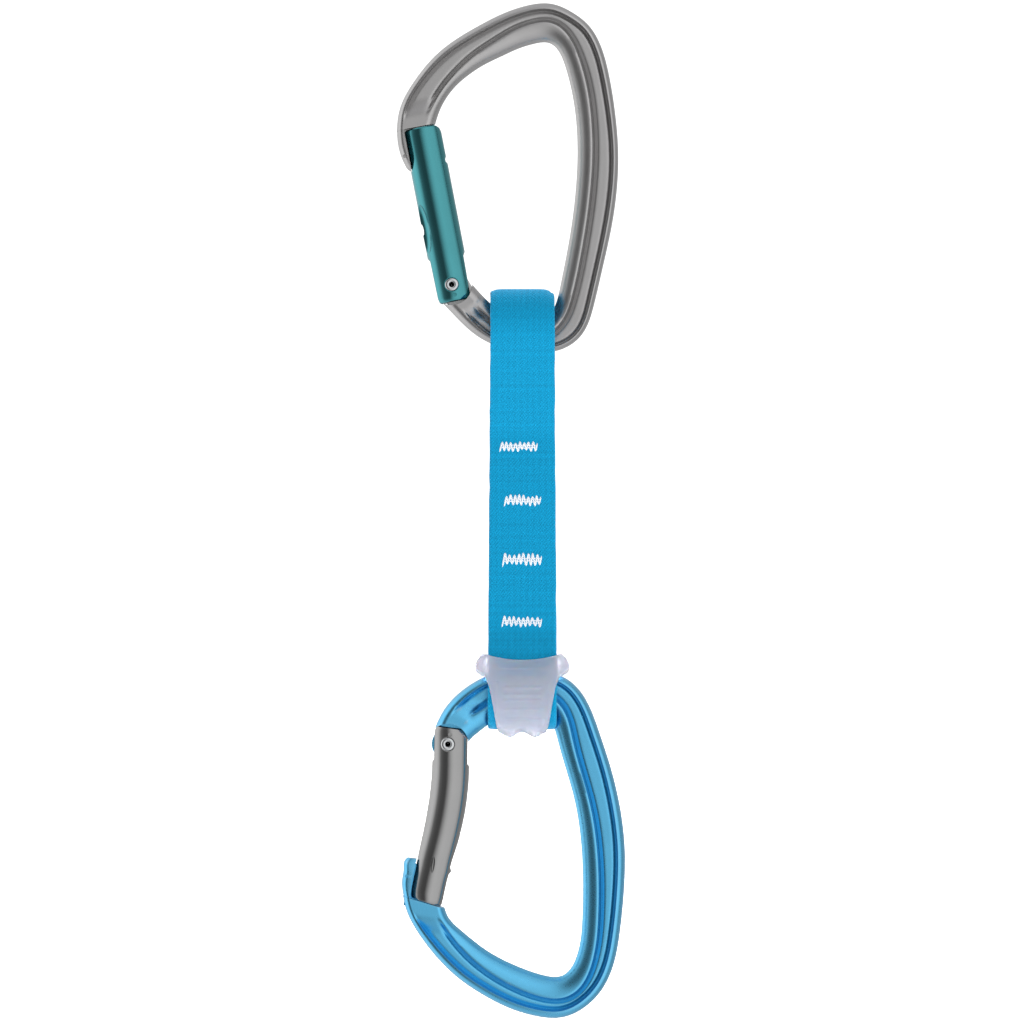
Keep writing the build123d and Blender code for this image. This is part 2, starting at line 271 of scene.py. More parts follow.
def smooth_shade(piece, degrees=35.0):
    """Smooth shading that keeps the edges sharper than an angle."""
    piece.data.polygons.foreach_set("use_smooth", [True] * len(piece.data.polygons))
    piece.data.set_sharp_from_angle(angle=math.radians(degrees))
    piece.data.update()


def dress(piece, material, body, replaced=()):
    """Gives a finished piece its material and the body that it rides on."""
    piece.data.materials.clear()
    piece.data.materials.append(material)
    if body:
        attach(piece, body)
    if replaced:
        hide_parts(*replaced)
    return piece


def smooth_rows(rows, spacing, fairing=0):
    """Rows of numbers joined by a natural cubic spline, read off evenly and then faired."""
    rows = np.array(rows, float)
    gaps = np.linalg.norm(np.diff(rows[:, :4], axis=0), axis=1) / math.sqrt(2)
    knots = np.concatenate([[0], np.cumsum(gaps)])
    system = np.eye(len(rows))
    change = np.zeros_like(rows)
    for row in range(1, len(rows) - 1):
        before, after = gaps[row - 1], gaps[row]
        system[row, row - 1:row + 2] = before, 2 * (before + after), after
        change[row] = 6 * (
            (rows[row + 1] - rows[row]) / after - (rows[row] - rows[row - 1]) / before
        )
    bend = np.linalg.solve(system, change)
    places = np.linspace(0, knots[-1], int(knots[-1] / spacing) + 1)
    span = np.clip(np.searchsorted(knots, places, side="right") - 1, 0, len(rows) - 2)
    share = ((places - knots[span]) / gaps[span])[:, None]
    rest = 1 - share
    bends = (rest**3 - rest) * bend[span] + (share**3 - share) * bend[span + 1]
    read = rest * rows[span] + share * rows[span + 1] + bends * gaps[span][:, None] ** 2 / 6
    for _ in range(fairing):
        read[1:-1] = (read[:-2] + 2 * read[1:-1] + read[2:]) / 4
    return read


def ease(value, low, high):
    """0 below low, 1 above high, and a smooth step between."""
    share = np.clip((value - low) / (high - low), 0, 1)
    return share * share * (3 - 2 * share)


def full_turn(sides):
    """Evenly spaced angles once round."""
    return np.linspace(0, 2 * math.pi, sides, endpoint=False)


def plate(name, outline, half, corner):
    """A flat solid from an outline in the carabiner's plane, with rounded long edges."""
    outline = np.asarray(outline, float)
    before, after = np.roll(outline, 1, axis=0), np.roll(outline, -1, axis=0)
    run = after - before
    run /= np.linalg.norm(run, axis=1)[:, None]
    inwards = np.stack([-run[:, 2], np.zeros(len(run)), run[:, 0]], axis=1)
    if (inwards * (outline.mean(0) - outline)).sum() < 0:
        inwards = -inwards
    rings = []
    for turn in np.linspace(0, math.pi / 2, 5):
        draw, depth = corner * (1 - math.sin(turn)), half - corner * (1 - math.cos(turn))
        rings.append(outline + draw * inwards + np.array([0, -depth, 0]))
    rings += [ring * np.array([1, -1, 1]) for ring in reversed(rings)]
    return loft(name, rings)


def cylinder(name, start, end, radius, sides=48):
    """A plain cylinder between two points, which only cuts other solids."""
    start, end = np.asarray(start, float), np.asarray(end, float)
    axis = (end - start) / np.linalg.norm(end - start)
    helper = np.array([1.0, 0, 0]) if abs(axis[0]) < 0.9 else np.array([0, 1.0, 0])
    first = np.cross(axis, helper)
    first /= np.linalg.norm(first)
    second = np.cross(axis, first)
    turns = full_turn(sides)
    circle = radius * (np.cos(turns)[:, None] * first + np.sin(turns)[:, None] * second)
    return loft(name, [start + circle, end + circle])


def box_on_gate(name, place, across, along, depth):
    """A block beside a gate, from low to high in each direction, which only cuts."""
    rings = []
    for height in along:
        rings.append(np.array([
            on_gate(place, across[0], height, depth[0]),
            on_gate(place, across[1], height, depth[0]),
            on_gate(place, across[1], height, depth[1]),
            on_gate(place, across[0], height, depth[1]),
        ]))
    return loft(name, rings)


# ------------------------------------------------------------------------ forged frames
# Ribs across each bar from the nose round the basket and the spine to the tang, in
# millimetres: outer X and Z, inner X and Z, outer rim and inner flange. The upper ones
# start from the point of the basket, and the lower ones from the axis of the sling's eye.
UPPER_RIBS = (
    (-41.0, -25.0, -31.0, -25.0, 1.9, 2.7),
    (-40.1, -18.0, -29.0, -18.3, 1.9, 2.7),
    (-36.5, -11.1, -25.6, -12.9, 2.0, 2.8),
    (-31.0, -4.2, -21.6, -9.2, 2.1, 3.1),
    (-25.0, 0.7, -17.3, -6.3, 2.2, 3.7),
    (-18.1, 4.8, -12.4, -3.9, 2.2, 4.4),
    (-11.5, 8.1, -7.6, -1.7, 2.2, 5.1),
    (-4.7, 10.3, -3.4, -0.4, 2.1, 5.6),
    (2.2, 10.6, 0.6, 0.0, 2.1, 5.6),
    (7.3, 8.3, 2.9, -1.5, 2.0, 5.3),
    (11.6, 5.0, 4.4, -4.0, 1.9, 5.0),
    (14.8, -0.1, 5.6, -7.4, 1.9, 4.8),
    (17.3, -8.6, 6.9, -12.4, 1.8, 4.6),
    (19.0, -19.0, 8.1, -19.4, 1.7, 4.5),
    (19.9, -30.5, 8.7, -29.8, 1.6, 4.4),
    (19.4, -41.5, 8.2, -40.4, 1.6, 4.3),
    (17.9, -51.5, 7.1, -49.9, 1.6, 4.2),
    (15.7, -61.5, 5.5, -59.2, 1.5, 4.2),
    (13.2, -72.2, 3.9, -67.2, 1.5, 4.2),
    (9.6, -80.7, 2.0, -73.4, 1.4, 4.1),
    (3.8, -84.5, -0.9, -76.6, 1.4, 4.0),
    (-4.0, -85.1, -4.7, -77.5, 1.5, 3.7),
    (-13.0, -83.5, -9.8, -75.7, 1.7, 3.5),
    (-20.0, -79.8, -14.6, -72.2, 2.3, 3.4),
    (-26.2, -73.8, -18.9, -67.9, 2.8, 3.3),
    (-30.5, -69.4, -21.5, -64.9, 2.8, 3.3),
)
LOWER_RIBS = (
    (-33.2, -52.0, -21.8, -54.5, 2.1, 2.0),
    (-31.9, -59.2, -20.8, -60.0, 2.1, 2.4),
    (-28.2, -66.0, -17.8, -63.7, 2.3, 3.1),
    (-23.2, -72.4, -14.2, -66.7, 2.4, 3.9),
    (-17.4, -77.9, -10.3, -69.7, 2.4, 4.5),
    (-10.5, -82.5, -5.3, -72.6, 2.4, 5.2),
    (-3.0, -86.2, 0.4, -75.1, 2.4, 5.8),
    (4.5, -88.3, 5.6, -76.8, 2.4, 6.1),
    (11.3, -88.5, 9.8, -77.3, 2.4, 6.1),
    (17.5, -85.5, 12.7, -75.7, 2.4, 5.9),
    (22.1, -80.6, 14.6, -72.4, 2.4, 5.5),
    (25.0, -74.3, 15.8, -68.0, 2.4, 5.1),
    (26.9, -64.5, 16.4, -61.6, 2.3, 4.8),
    (28.0, -53.0, 16.6, -52.0, 2.3, 4.7),
    (28.1, -40.5, 16.0, -39.6, 2.3, 4.6),
    (26.6, -29.3, 14.3, -28.8, 2.3, 4.4),
    (24.0, -18.8, 11.6, -19.2, 2.2, 4.3),
    (20.9, -9.4, 9.6, -12.1, 2.1, 4.4),
    (17.5, -1.2, 8.1, -7.5, 2.0, 4.8),
    (12.8, 4.2, 5.8, -5.0, 1.9, 5.2),
    (6.5, 6.6, 2.8, -4.3, 1.9, 5.3),
    (-1.0, 7.1, -1.6, -4.5, 2.0, 5.2),
    (-8.5, 5.8, -6.2, -6.1, 2.1, 5.1),
    (-15.8, 1.9, -10.8, -9.2, 2.3, 4.9),
    (-22.0, -4.6, -14.4, -12.3, 2.6, 4.6),
    (-25.2, -12.2, -15.6, -14.6, 2.6, 4.6),
)
STATION_SPACING = 0.7        # millimetres from one section of a bar to the next
FAIRING_PASSES = 5
# Each beak's outer and inner edges from its tip to the nose: across and along the gate.
UPPER_BEAK = (
    (-5.15, 32.7, -4.98, 32.8), (-5.7, 33.2, -5.02, 33.2), (-6.35, 34.5, -5.05, 34.5),
    (-6.8, 36.2, -5.05, 36.2), (-7.24, 39.7, -5.05, 39.7), (-7.05, 43.0, -5.05, 43.0),
    (-6.6, 45.4, -4.5, 45.2), (-6.1, 47.0, -3.8, 46.6),
)
LOWER_BEAK = (
    (-6.75, 32.5, -4.05, 32.5), (-7.15, 33.0, -4.1, 33.0), (-7.3, 36.0, -4.4, 36.0),
    (-7.3, 38.9, -4.6, 38.9), (-6.9, 41.2, -4.6, 41.2), (-6.2, 43.3, -4.5, 43.3),
    (-5.5, 45.0, -3.6, 45.0), (-4.9, 46.6, -3.0, 46.3),
)
POCKET_NOSE_RAMP = 5.0       # how gently a pocket rises to the nose
FLANGE_NOSE_RAMP = 6.0       # and the flange's step beside it
FLANGE_TANG_RAMP = 0.7       # the flange's step at the tang, which is short
GROOVE_WIDTH = 0.45
PAST_NOSE = 100.0            # any length that is clear of the nose's ramps
BEAK_SPACING = 0.4           # millimetres from one section of a beak to the next
BEAK_ROUND = 1.6             # how far a beak's round outside reaches in
BEAK_GAP = 0.12              # between the gate's round side and the beak
MARK_DEPTH, MARK_RADIUS = 1.3, 0.5      # of the punched mark on each side of a beak
TANG_HOLE = 1.3              # radius of the rivet's hole through the tang
SMALL_SIDES = 24             # sides of the smallest round cutters
END_CORNER = 4.2             # from a gate's middle to the corner its leaning end turns about
HEEL_CLEARANCE = 0.25        # between the gate's heel and the round end of the bar
NOSE_CLEARANCE = 0.3         # the gate's far corner swings past the nose


def forged_bar(name, ribs, origin, place, metal):
    """The frame's bar: an I-beam section whose side pockets end short of nose and tang."""
    rows = smooth_rows(ribs, STATION_SPACING, FAIRING_PASSES)
    rows[:, [0, 2]] += origin[0]
    rows[:, [1, 3]] += origin[2]
    outer, inner, rim, flange = rows[:, 0:2], rows[:, 2:4], rows[:, 4], rows[:, 5]
    width = np.linalg.norm(inner - outer, axis=1)
    wall = metal.wall / MM
    # Where the section is measured, as distances from the outer edge.
    turn = np.linspace(0, math.pi / 2, 9)[:, None]
    step = np.linspace(0, 1, 7)[1:, None]
    web_step = (1 - np.cos(math.pi * np.linspace(0, 1, 13)[1:, None])) / 2
    to_inner = np.linspace(0, math.pi / 2, 15)[1:, None]
    slope = metal.flange_slope / MM
    inner_wall = width - flange - slope / 2
    reach = np.concatenate([
        (rim - wall / 2) * (1 - np.cos(turn)),
        rim - wall / 2 + wall * step,
        rim + wall / 2 + (inner_wall - rim - wall / 2) * web_step,
        inner_wall + slope * step,
        inner_wall + slope + (flange - slope / 2) * np.sin(to_inner),
    ])
    round_outer = np.clip(reach / (0.85 * rim), 0, 1)
    round_inner = np.clip((width - reach) / (0.9 * flange), 0, 1)
    crown = np.sqrt(np.clip(1 - (1 - round_outer) ** 2, 0, 1))
    crown = np.minimum(crown, np.sqrt(np.clip(1 - (1 - round_inner) ** 2, 0, 1)))
    in_pocket = ease(reach, rim - wall / 2, rim + wall / 2)
    in_pocket *= 1 - ease(reach, inner_wall, inner_wall + slope)
    on_flange = ease(reach, inner_wall, inner_wall + slope)
    share = (reach / width)[:, :, None]
    flat = outer[None] * (1 - share) + inner[None] * share
    from_wall = np.minimum(reach - rim - wall / 2, inner_wall - reach)
    groove = np.exp(-((from_wall / GROOVE_WIDTH) ** 2))
    columns = np.concatenate(
        [flat] + [part[:, :, None] for part in (crown, in_pocket, on_flange, groove)], axis=2
    )
    # Each line along the bar ends where it meets the nose's flat or the heel's clearance.
    rivet, along, inside = (place[key][[0, 2]] for key in ("rivet", "along", "inside"))
    heel = place["heel"] + HEEL_CLEARANCE
    trimmed = []
    for column in columns:
        beyond = (column[:, :2] - rivet) @ inside - END_CORNER
        past_nose = (column[:, :2] - rivet) @ along - place["nose"] - place["lean"] * beyond
        off_heel = np.linalg.norm(column[:, :2] - rivet, axis=1) - heel
        trimmed.append(trim_line(column, past_nose, off_heel))
    columns = np.array(trimmed)
    flat = columns[:, :, :2]
    count, stations = flat.shape[:2]
    from_rivet = np.linalg.norm(flat - rivet, axis=2)
    from_nose = (flat - rivet) @ along - place["nose"]
    # Only the first quarter of the bar is near the nose; the tang's side is not.
    from_nose[:, stations // 4:] = PAST_NOSE
    by_nose, by_tang, step_end = (
        place[key] for key in ("pocket_start", "pocket_end", "flange_end")
    )
    pocket = ease(from_rivet, by_tang, by_tang + place["ramp"])
    pocket *= ease(from_nose, by_nose, by_nose + POCKET_NOSE_RAMP)
    stepped = ease(from_rivet, step_end, step_end + FLANGE_TANG_RAMP)
    stepped *= ease(from_nose, by_nose, by_nose + FLANGE_NOSE_RAMP)
    height = frame_half_depth * columns[:, :, 2]
    height -= (metal.flange_drop / MM) * columns[:, :, 4] * stepped * columns[:, :, 2]
    web = (metal.web_half - metal.groove * columns[:, :, 5]) / MM
    height -= (height - web) * columns[:, :, 3] * pocket * (height > web)
    rings = []
    for station in range(stations):
        front = np.stack(
            [flat[:, station, 0], -height[:, station], flat[:, station, 1]], axis=1
        )
        back = front[1:-1][::-1] * np.array([1, -1, 1])
        rings.append(np.concatenate([front, back]))
    size = len(rings[0])
    faces = ring_faces(stations, size)
    for end in (0, (stations - 1) * size):
        for line in range(count - 1):
            corners = [line, line + 1, (size - line - 1) % size, (size - line) % size]
            faces.append(tuple(end + corner for corner in dict.fromkeys(corners)))
    return new_mesh_object(name, np.concatenate(rings), faces)


def trim_line(column, past_nose, off_heel):
    """A line of points cut where it passes the nose and where it meets the heel."""
    first = np.argmax(past_nose >= 0) - 1
    start = first + past_nose[first] / (past_nose[first] - past_nose[first + 1])
    last = len(column) - np.argmax(off_heel[::-1] >= 0)
    end = last - off_heel[last] / (off_heel[last] - off_heel[last - 1])
    read = np.linspace(start, end, len(column))
    below = np.clip(read.astype(int), 0, len(column) - 2)
    part = (read - below)[:, None]
    return column[below] * (1 - part) + column[below + 1] * part


def link_outline(first, first_radius, second, second_radius, sides=64):
    """The outline round two circles in the carabiner's plane, as a tight belt runs."""
    turns = full_turn(sides)
    compass = np.stack([np.cos(turns), np.zeros(sides), np.sin(turns)], axis=1)
    reach_first = compass @ first + first_radius
    reach_second = compass @ second + second_radius
    return np.where(
        (reach_first > reach_second)[:, None],
        first + first_radius * compass,
        second + second_radius * compass,
    )


def forge_frame(end, ribs, origin, place, metal):
    """One frame: the bar, its tang, and its nose with a beak and a keylock tongue."""
    piece = forged_bar(f"{end}_carabiner_frame", ribs, origin, place, metal)
    rivet, nose, key_end = place["rivet"], place["nose"], place["key_end"]
    # The tang, with a flat for the push rod to bear on.
    neck = np.array(ribs[-2])
    root = np.array([neck[0] + neck[2], 0, neck[1] + neck[3]]) / 2 + origin
    outline = link_outline(rivet, place["tang_radius"], root, place["tang_radius"] - 0.6)
    above = (outline - rivet) @ place["along"] - (place["cam"] - metal.side_gap / MM)
    outline = outline - np.clip(above, 0, None)[:, None] * place["along"]
    half_tang = metal.tang / MM / 2
    combine(piece, plate("tang", outline, half_tang, 0.3), "UNION")
    # The beak outside the gate, and the tongue in the gate's key slot.
    edge = -place["radius"] - BEAK_GAP
    half_beak = metal.beak / MM / 2
    combine(piece, draw_beak(place, half_beak), "UNION")
    outline = [
        on_gate(place, across, height) for across, height in (
            (edge - 0.6, key_end + 0.9), (place["tongue_reach"], key_end + 0.9),
            (place["tongue_reach"], nose + 1.0), (edge - 0.6, nose + 1.0),
        )
    ]
    combine(piece, plate("tongue", outline, metal.tongue / MM / 2, 0.25), "UNION")
    # A punched mark on each side of the beak, and the rivet's hole.
    for side in (-1, 1):
        mark = on_gate(place, edge - 0.75, key_end + 4.4, side * half_beak)
        deep = np.array([0, MARK_DEPTH, 0])
        punch = cylinder("mark", mark - deep, mark + deep, MARK_RADIUS, SMALL_SIDES)
        combine(piece, punch, "DIFFERENCE")
    through = np.array([0, frame_half_depth + metal.side_gap / MM, 0])
    combine(piece, cylinder("hole", rivet - through, rivet + through, TANG_HOLE), "DIFFERENCE")
    smooth_shade(piece, 32)
    return piece


def draw_beak(place, half_depth):
    """The beak that runs down outside the gate, round outside and flat beside the gate."""
    rings = []
    across = np.concatenate([1 - np.cos(np.linspace(0, math.pi / 2, 10)), [1.0]])
    tip = place["beak"][0][1]
    for outer_x, outer_z, inner_x, inner_z in smooth_rows(place["beak"], BEAK_SPACING):
        width = math.hypot(inner_x - outer_x, inner_z - outer_z)
        share = across * min(1.0, BEAK_ROUND / width)
        share[-1] = 1.0
        depth = half_depth * (0.62 + 0.38 * ease(outer_z, tip - 0.5, tip + 4.5))
        from_round = np.clip(1 - share * width / BEAK_ROUND, 0, 1)
        crown = depth * np.sqrt(1 - from_round**2)
        front = [
            on_gate(place, outer_x + part * (inner_x - outer_x),
                    outer_z + part * (inner_z - outer_z), -height)
            for part, height in zip(share, crown)
        ]
        back = [point * np.array([1, -1, 1]) for point in front[:0:-1]]
        rings.append(np.array(front + back))
    return loft("beak", rings)


def frame_places():
    """What each frame's nose, pockets and tang are placed by, in millimetres."""
    places = []
    for place, beak, pocket_end, ramp in (
        (upper_gate_place, UPPER_BEAK, 7.4, 6.0), (lower_gate_place, LOWER_BEAK, 7.8, 7.0),
    ):
        nose = place["reach"] + NOSE_CLEARANCE
        places.append(dict(
            place, beak=beak, nose=nose, key_end=nose - 11.6, tongue_reach=1.5, tang_radius=4.5,
            heel=5.35, pocket_start=2.7, pocket_end=pocket_end, ramp=ramp,
            flange_end=pocket_end + 0.6,
        ))
    return places


class QUICKDRAW_OT_frames(bpy.types.Operator):
    """Forge the two carabiner frames, each from its nose round to its tang"""

    bl_idname = "quickdraw.frames"
    bl_label = "Carabiner frames"

    def execute(self, context):
        metal = context.scene.quickdraw_metal
        upper_place, lower_place = frame_places()
        upper = forge_frame("upper", UPPER_RIBS, basket, upper_place, metal)
        lower = forge_frame("lower", LOWER_RIBS, lower_bar, lower_place, metal)
        grey = anodised_aluminium("satin_grey_anodised_aluminium", metal.upper_frame, 0.36)
        blue = anodised_aluminium("satin_blue_anodised_aluminium", metal.lower_frame, 0.30)
        dress(upper, grey, "upper_carabiner", ["upper_frame"])
        dress(lower, blue, "lower_carabiner", ["lower_frame"])
        return {"FINISHED"}


# -------------------------------------------------------------------------------- gates
# Sections along a gate: distance from the rivet, shift of its middle to the inside,
# radius, and how far its outer and inner sides are milled back from the middle.
UPPER_GATE_SECTIONS = (
    (-4.6, 0.0, 4.35, 3.6, 3.6),
    (-4.4, 0.0, 4.75, 4.0, 3.9),
    (-3.9, 0.0, 5.05, 4.3, 4.15),
    (-3.0, 0.0, 5.2, 4.5, 4.45),
    (7.4, 0.0, 5.2, 4.65, 4.65),
    (8.3, 0.0, 5.2, 5.2, 5.2),
    (33.0, 0.0, 5.2, 5.2, 5.2),
    (33.6, 0.0, 5.2, 5.2, 4.75),
    (34.4, 0.0, 5.2, 5.2, 4.75),
    (35.0, 0.0, 5.2, 5.2, 5.1),
    (41.9, 0.0, 5.2, 5.2, 5.1),
    (43.0, 0.0, 5.2, 5.15, 4.75),
    (43.6, 0.0, 5.1, 5.0, 4.1),
    (43.95, 0.0, 4.8, 4.75, 3.4),
)
LOWER_GATE_SECTIONS = (
    (-4.6, 0.2, 4.3, 3.4, 3.6),
    (-4.3, 0.25, 4.8, 3.9, 4.0),
    (-3.5, 0.35, 5.1, 4.4, 4.4),
    (-2.4, 0.5, 5.2, 4.6, 4.6),
    (4.4, 1.35, 5.2, 4.65, 4.65),
    (5.4, 1.5, 5.2, 5.15, 5.2),
    (10.1, 1.97, 5.2, 5.2, 5.2),
    (18.0, 2.1, 5.2, 5.2, 5.2),
    (26.0, 1.55, 5.2, 5.05, 5.05),
    (31.0, 1.0, 5.2, 4.85, 4.7),
    (33.4, 0.8, 5.2, 4.7, 4.6),
    (34.3, 0.75, 5.2, 4.65, 5.1),
    (35.2, 0.65, 5.2, 4.6, 4.6),
    (41.6, 0.2, 5.0, 4.5, 4.5),
    (43.4, 0.12, 4.85, 4.4, 4.4),
    (43.95, 0.1, 4.6, 4.1, 4.15),
)
# Each gate's scallop: its middle across, along and through the gate, and its half sizes.
UPPER_SCALLOP = (-5.3, 16.4, 3.4, (2.5, 7.4, 3.5))
LOWER_SCALLOP = (0.6, 33.2, 5.3, (0.5, 2.2, 0.9))
GATE_LENGTH = 43.95          # where both tables of sections end
GATE_SIDES = 96
LEAN_REACH = 9.0             # the lean fades in over this much of a gate's end
FORK_LENGTH = 5.0            # how far past the rivet the fork is open
KEY_SLOT = (1.9, 11.4)       # how far the key slot runs inwards, and down from the end
ROD_BORE = (3.0, 23.0, 2.4)  # where the push rod's bore starts and ends, and its radius
RIVET_SEAT = (4.5, 2.05)     # how far out the flat under a rivet's head is, and its radius
PIN_WALL, PIN_RADIUS = 0.7, 0.55        # what is left under a pin hole, and its radius
GATE_HOLE = 1.35             # radius of the rivet's hole through the fork
CLEAR = 9.0                  # a cutter this long reaches out of the gate


def turn_gate(end, sections, place, metal):
    """One gate: milled sides, a fork over the tang, a key slot and seats for the rivet."""
    rows = np.array(sections)
    reach, rivet = place["reach"], place["rivet"]
    rows[:, 0] *= reach / GATE_LENGTH
    bend = smooth_rows(rows[:, [0, 1, 0, 1]], 0.2)[:, :2]
    heights = np.unique(np.concatenate([rows[:, 0], np.arange(9, rows[-1, 0] - 3, 0.9)]))
    turns = full_turn(GATE_SIDES)
    rings = []
    for height in heights:
        shift, radius, outer, inner = (
            np.interp(height, rows[:, 0], rows[:, column]) for column in range(1, 5)
        )
        if rows[0, 0] < height < rows[-1, 0]:
            shift = np.interp(height, bend[:, 0], bend[:, 1])
        across = np.clip(radius * np.cos(turns), -outer, inner) + shift
        lean = place["lean"] * ease(height, reach - LEAN_REACH, reach)
        rings.append(np.array([
            on_gate(place, side, height + lean * (side - END_CORNER), depth)
            for side, depth in zip(across, radius * np.sin(turns))
        ]))
    piece = loft(f"{end}_gate_body", rings)
    half_fork = (metal.tang / 2 + metal.side_gap) / MM
    half_slot = (metal.tongue / 2 + metal.side_gap) / MM
    slot_side, slot_length = KEY_SLOT
    bore_start, bore_end, bore_radius = ROD_BORE
    cutters = [
        box_on_gate(
            "fork", place, (-CLEAR, CLEAR), (-CLEAR, FORK_LENGTH), (-half_fork, half_fork),
        ),
        box_on_gate(
            "slot", place, (-CLEAR, slot_side), (reach - slot_length, reach + 3),
            (-half_slot, half_slot),
        ),
        cylinder(
            "bore", on_gate(place, 0, bore_start), on_gate(place, 0, bore_end), bore_radius,
        ),
    ]
    seat_depth, seat_radius = RIVET_SEAT
    for side in (-1, 1):
        face = np.array([0, side, 0])
        seat = rivet + seat_depth * face
        pin = on_gate(place, *place["pin"], side * (half_fork + PIN_WALL))
        cutters.append(cylinder("seat", seat, seat + 2 * face, seat_radius))
        cutters.append(cylinder("pin_hole", pin, pin + 4 * face, PIN_RADIUS, SMALL_SIDES))
    through = np.array([0, CLEAR, 0])
    cutters.append(cylinder("hole", rivet - through, rivet + through, GATE_HOLE))
    for cutter in cutters:
        combine(piece, cutter, "DIFFERENCE")
    return piece


def scoop(place, across, height, depth, sizes):
    """A long rounded cutter that leaves a scallop in a gate's side."""
    rings = []
    turns = full_turn(40)
    for rise in np.linspace(-0.995, 0.995, 25):
        round_off = math.sqrt(1 - rise * rise)
        rings.append(np.array([
            on_gate(
                place, across + sizes[0] * round_off * math.cos(turn),
                height + sizes[1] * rise, depth + sizes[2] * round_off * math.sin(turn),
            )
            for turn in turns
        ]))
    return loft("scoop", rings)


class QUICKDRAW_OT_gates(bpy.types.Operator):
    """Turn and mill the straight upper gate and the bent lower gate"""

    bl_idname = "quickdraw.gates"
    bl_label = "Gates"

    def execute(self, context):
        metal = context.scene.quickdraw_metal
        for end, place, sections, pin, scallop, dye, colour in (
            ("upper", upper_gate_place, UPPER_GATE_SECTIONS, (0.3, -2.9), UPPER_SCALLOP,
             "teal", metal.upper_gate),
            ("lower", lower_gate_place, LOWER_GATE_SECTIONS, (0.2, -2.7), LOWER_SCALLOP,
             "grey", metal.lower_gate),
        ):
            gate = turn_gate(end, sections, dict(place, pin=pin), metal)
            across, height, depth, sizes = scallop
            for side in (-1, 1):
                combine(gate, scoop(place, across, height, side * depth, sizes), "DIFFERENCE")
            smooth_shade(gate, 30)
            finish = turned_aluminium(f"gloss_{dye}_anodised_aluminium", colour)
            dress(gate, finish, f"{end}_gate", [f"{end}_gate"])
        return {"FINISHED"}


# ------------------------------------------------------- rivets, push rods and springs
# Radius and height of a rivet's half section, from the bottom of its dimple to its shank.
RIVET_SECTION = (
    (0.0, 0.8), (0.25, 2.2), (0.5, 3.7), (0.68, 4.8), (0.8, 5.1), (0.98, 5.18), (1.3, 5.2),
    (1.6, 5.1), (1.82, 4.9), (1.9, 4.7), (1.9, 4.62), (1.3, 4.58),
)
RIVET_SIDES = 48
SMALLEST_RING = 0.02         # in place of a bare point at the bottom of the dimple


class QUICKDRAW_OT_rivets(bpy.types.Operator):
    """Head the two gate rivets, and finish the push rods and springs"""

    bl_idname = "quickdraw.rivets"
    bl_label = "Rivets, push rods and springs"

    def execute(self, context):
        metal = context.scene.quickdraw_metal
        steel = rivet_steel(metal.rivet)
        for end, place in (("upper", upper_gate_place), ("lower", lower_gate_place)):
            turns = full_turn(RIVET_SIDES)
            circle = np.stack([np.cos(turns), np.zeros(RIVET_SIDES), np.sin(turns)], axis=1)
            section = list(RIVET_SECTION) + [(r, -h) for r, h in reversed(RIVET_SECTION)]
            rings = [
                place["rivet"] + max(radius, SMALLEST_RING) * circle - (0, height, 0)
                for radius, height in section
            ]
            rivet = loft(f"{end}_rivet", rings)
            smooth_shade(rivet, 50)
            dress(rivet, steel, f"{end}_carabiner", [f"{end}_gate_rivet"])
            for part, finish in (("plunger", brass()), ("spring", spring_wire())):
                node = frame["nodes"][f"{end}_gate_{part}"]
                node.data.materials.clear()
                node.data.materials.append(finish)
        return {"FINISHED"}


# -------------------------------------------------------------------------------- sling
SEWN_LENGTH = 54.0           # of the stretch where the two plies lie face to face
SELVEDGE = 0.8               # how far the round edge stands out from the flat faces
WAVINESS = 0.10              # how far the webbing's edges wander


def webbing_path(spacing=0.5):
    """The middle of the webbing in the YZ plane: up the front, over, and down the back."""
    sling = bpy.context.scene.quickdraw_sling
    half = sling.webbing / MM / 2
    ply = half + sling.ply_gap / MM / 2
    upper_round = node_box("sling_upper_eye")[1][1] - half - 0.05
    lower_round = node_box("sling_body")[1][1] - half - 0.05
    sewn_top = node_box("sling_upper_eye")[0][2] - 0.1
    sewn_bottom = sewn_top - SEWN_LENGTH
    front = []
    for bar, radius, apex, rise in (
        (lower_bar[2], lower_round, sewn_bottom, 1), (upper_bar[2], upper_round, sewn_top, -1),
    ):
        # The eye runs round its bar until it leaves on a straight line to the apex.
        reach = math.hypot(ply, bar - apex)
        leave = math.atan2(rise * (apex - bar), -ply) + math.acos(radius / reach)
        angles = np.linspace(1.5 * math.pi, leave, 40)
        arc = [(radius * math.cos(a), bar + rise * radius * math.sin(a)) for a in angles]
        front += (arc + [(-ply, apex)]) if rise > 0 else ([(-ply, apex)] + arc[::-1])
    front = np.array(front)
    back = front[-2:0:-1] * np.array([-1, 1])
    path = np.concatenate([front, back, front[:1]])
    length = np.concatenate([[0], np.cumsum(np.linalg.norm(np.diff(path, axis=0), axis=1))])
    count = int(length[-1] / spacing)
    places = np.linspace(0, length[-1], count, endpoint=False)
    path = np.stack([np.interp(places, length, path[:, axis]) for axis in (0, 1)], axis=1)
    for _ in range(16):
        path = (np.roll(path, 1, axis=0) + 2 * path + np.roll(path, -1, axis=0)) / 4
    return path


def webbing_normals(path):
    """Unit vectors that point out of the sling's closed path."""
    run = np.roll(path, -1, axis=0) - np.roll(path, 1, axis=0)
    run /= np.linalg.norm(run, axis=1)[:, None]
    return np.stack([-run[:, 1], run[:, 0]], axis=1)


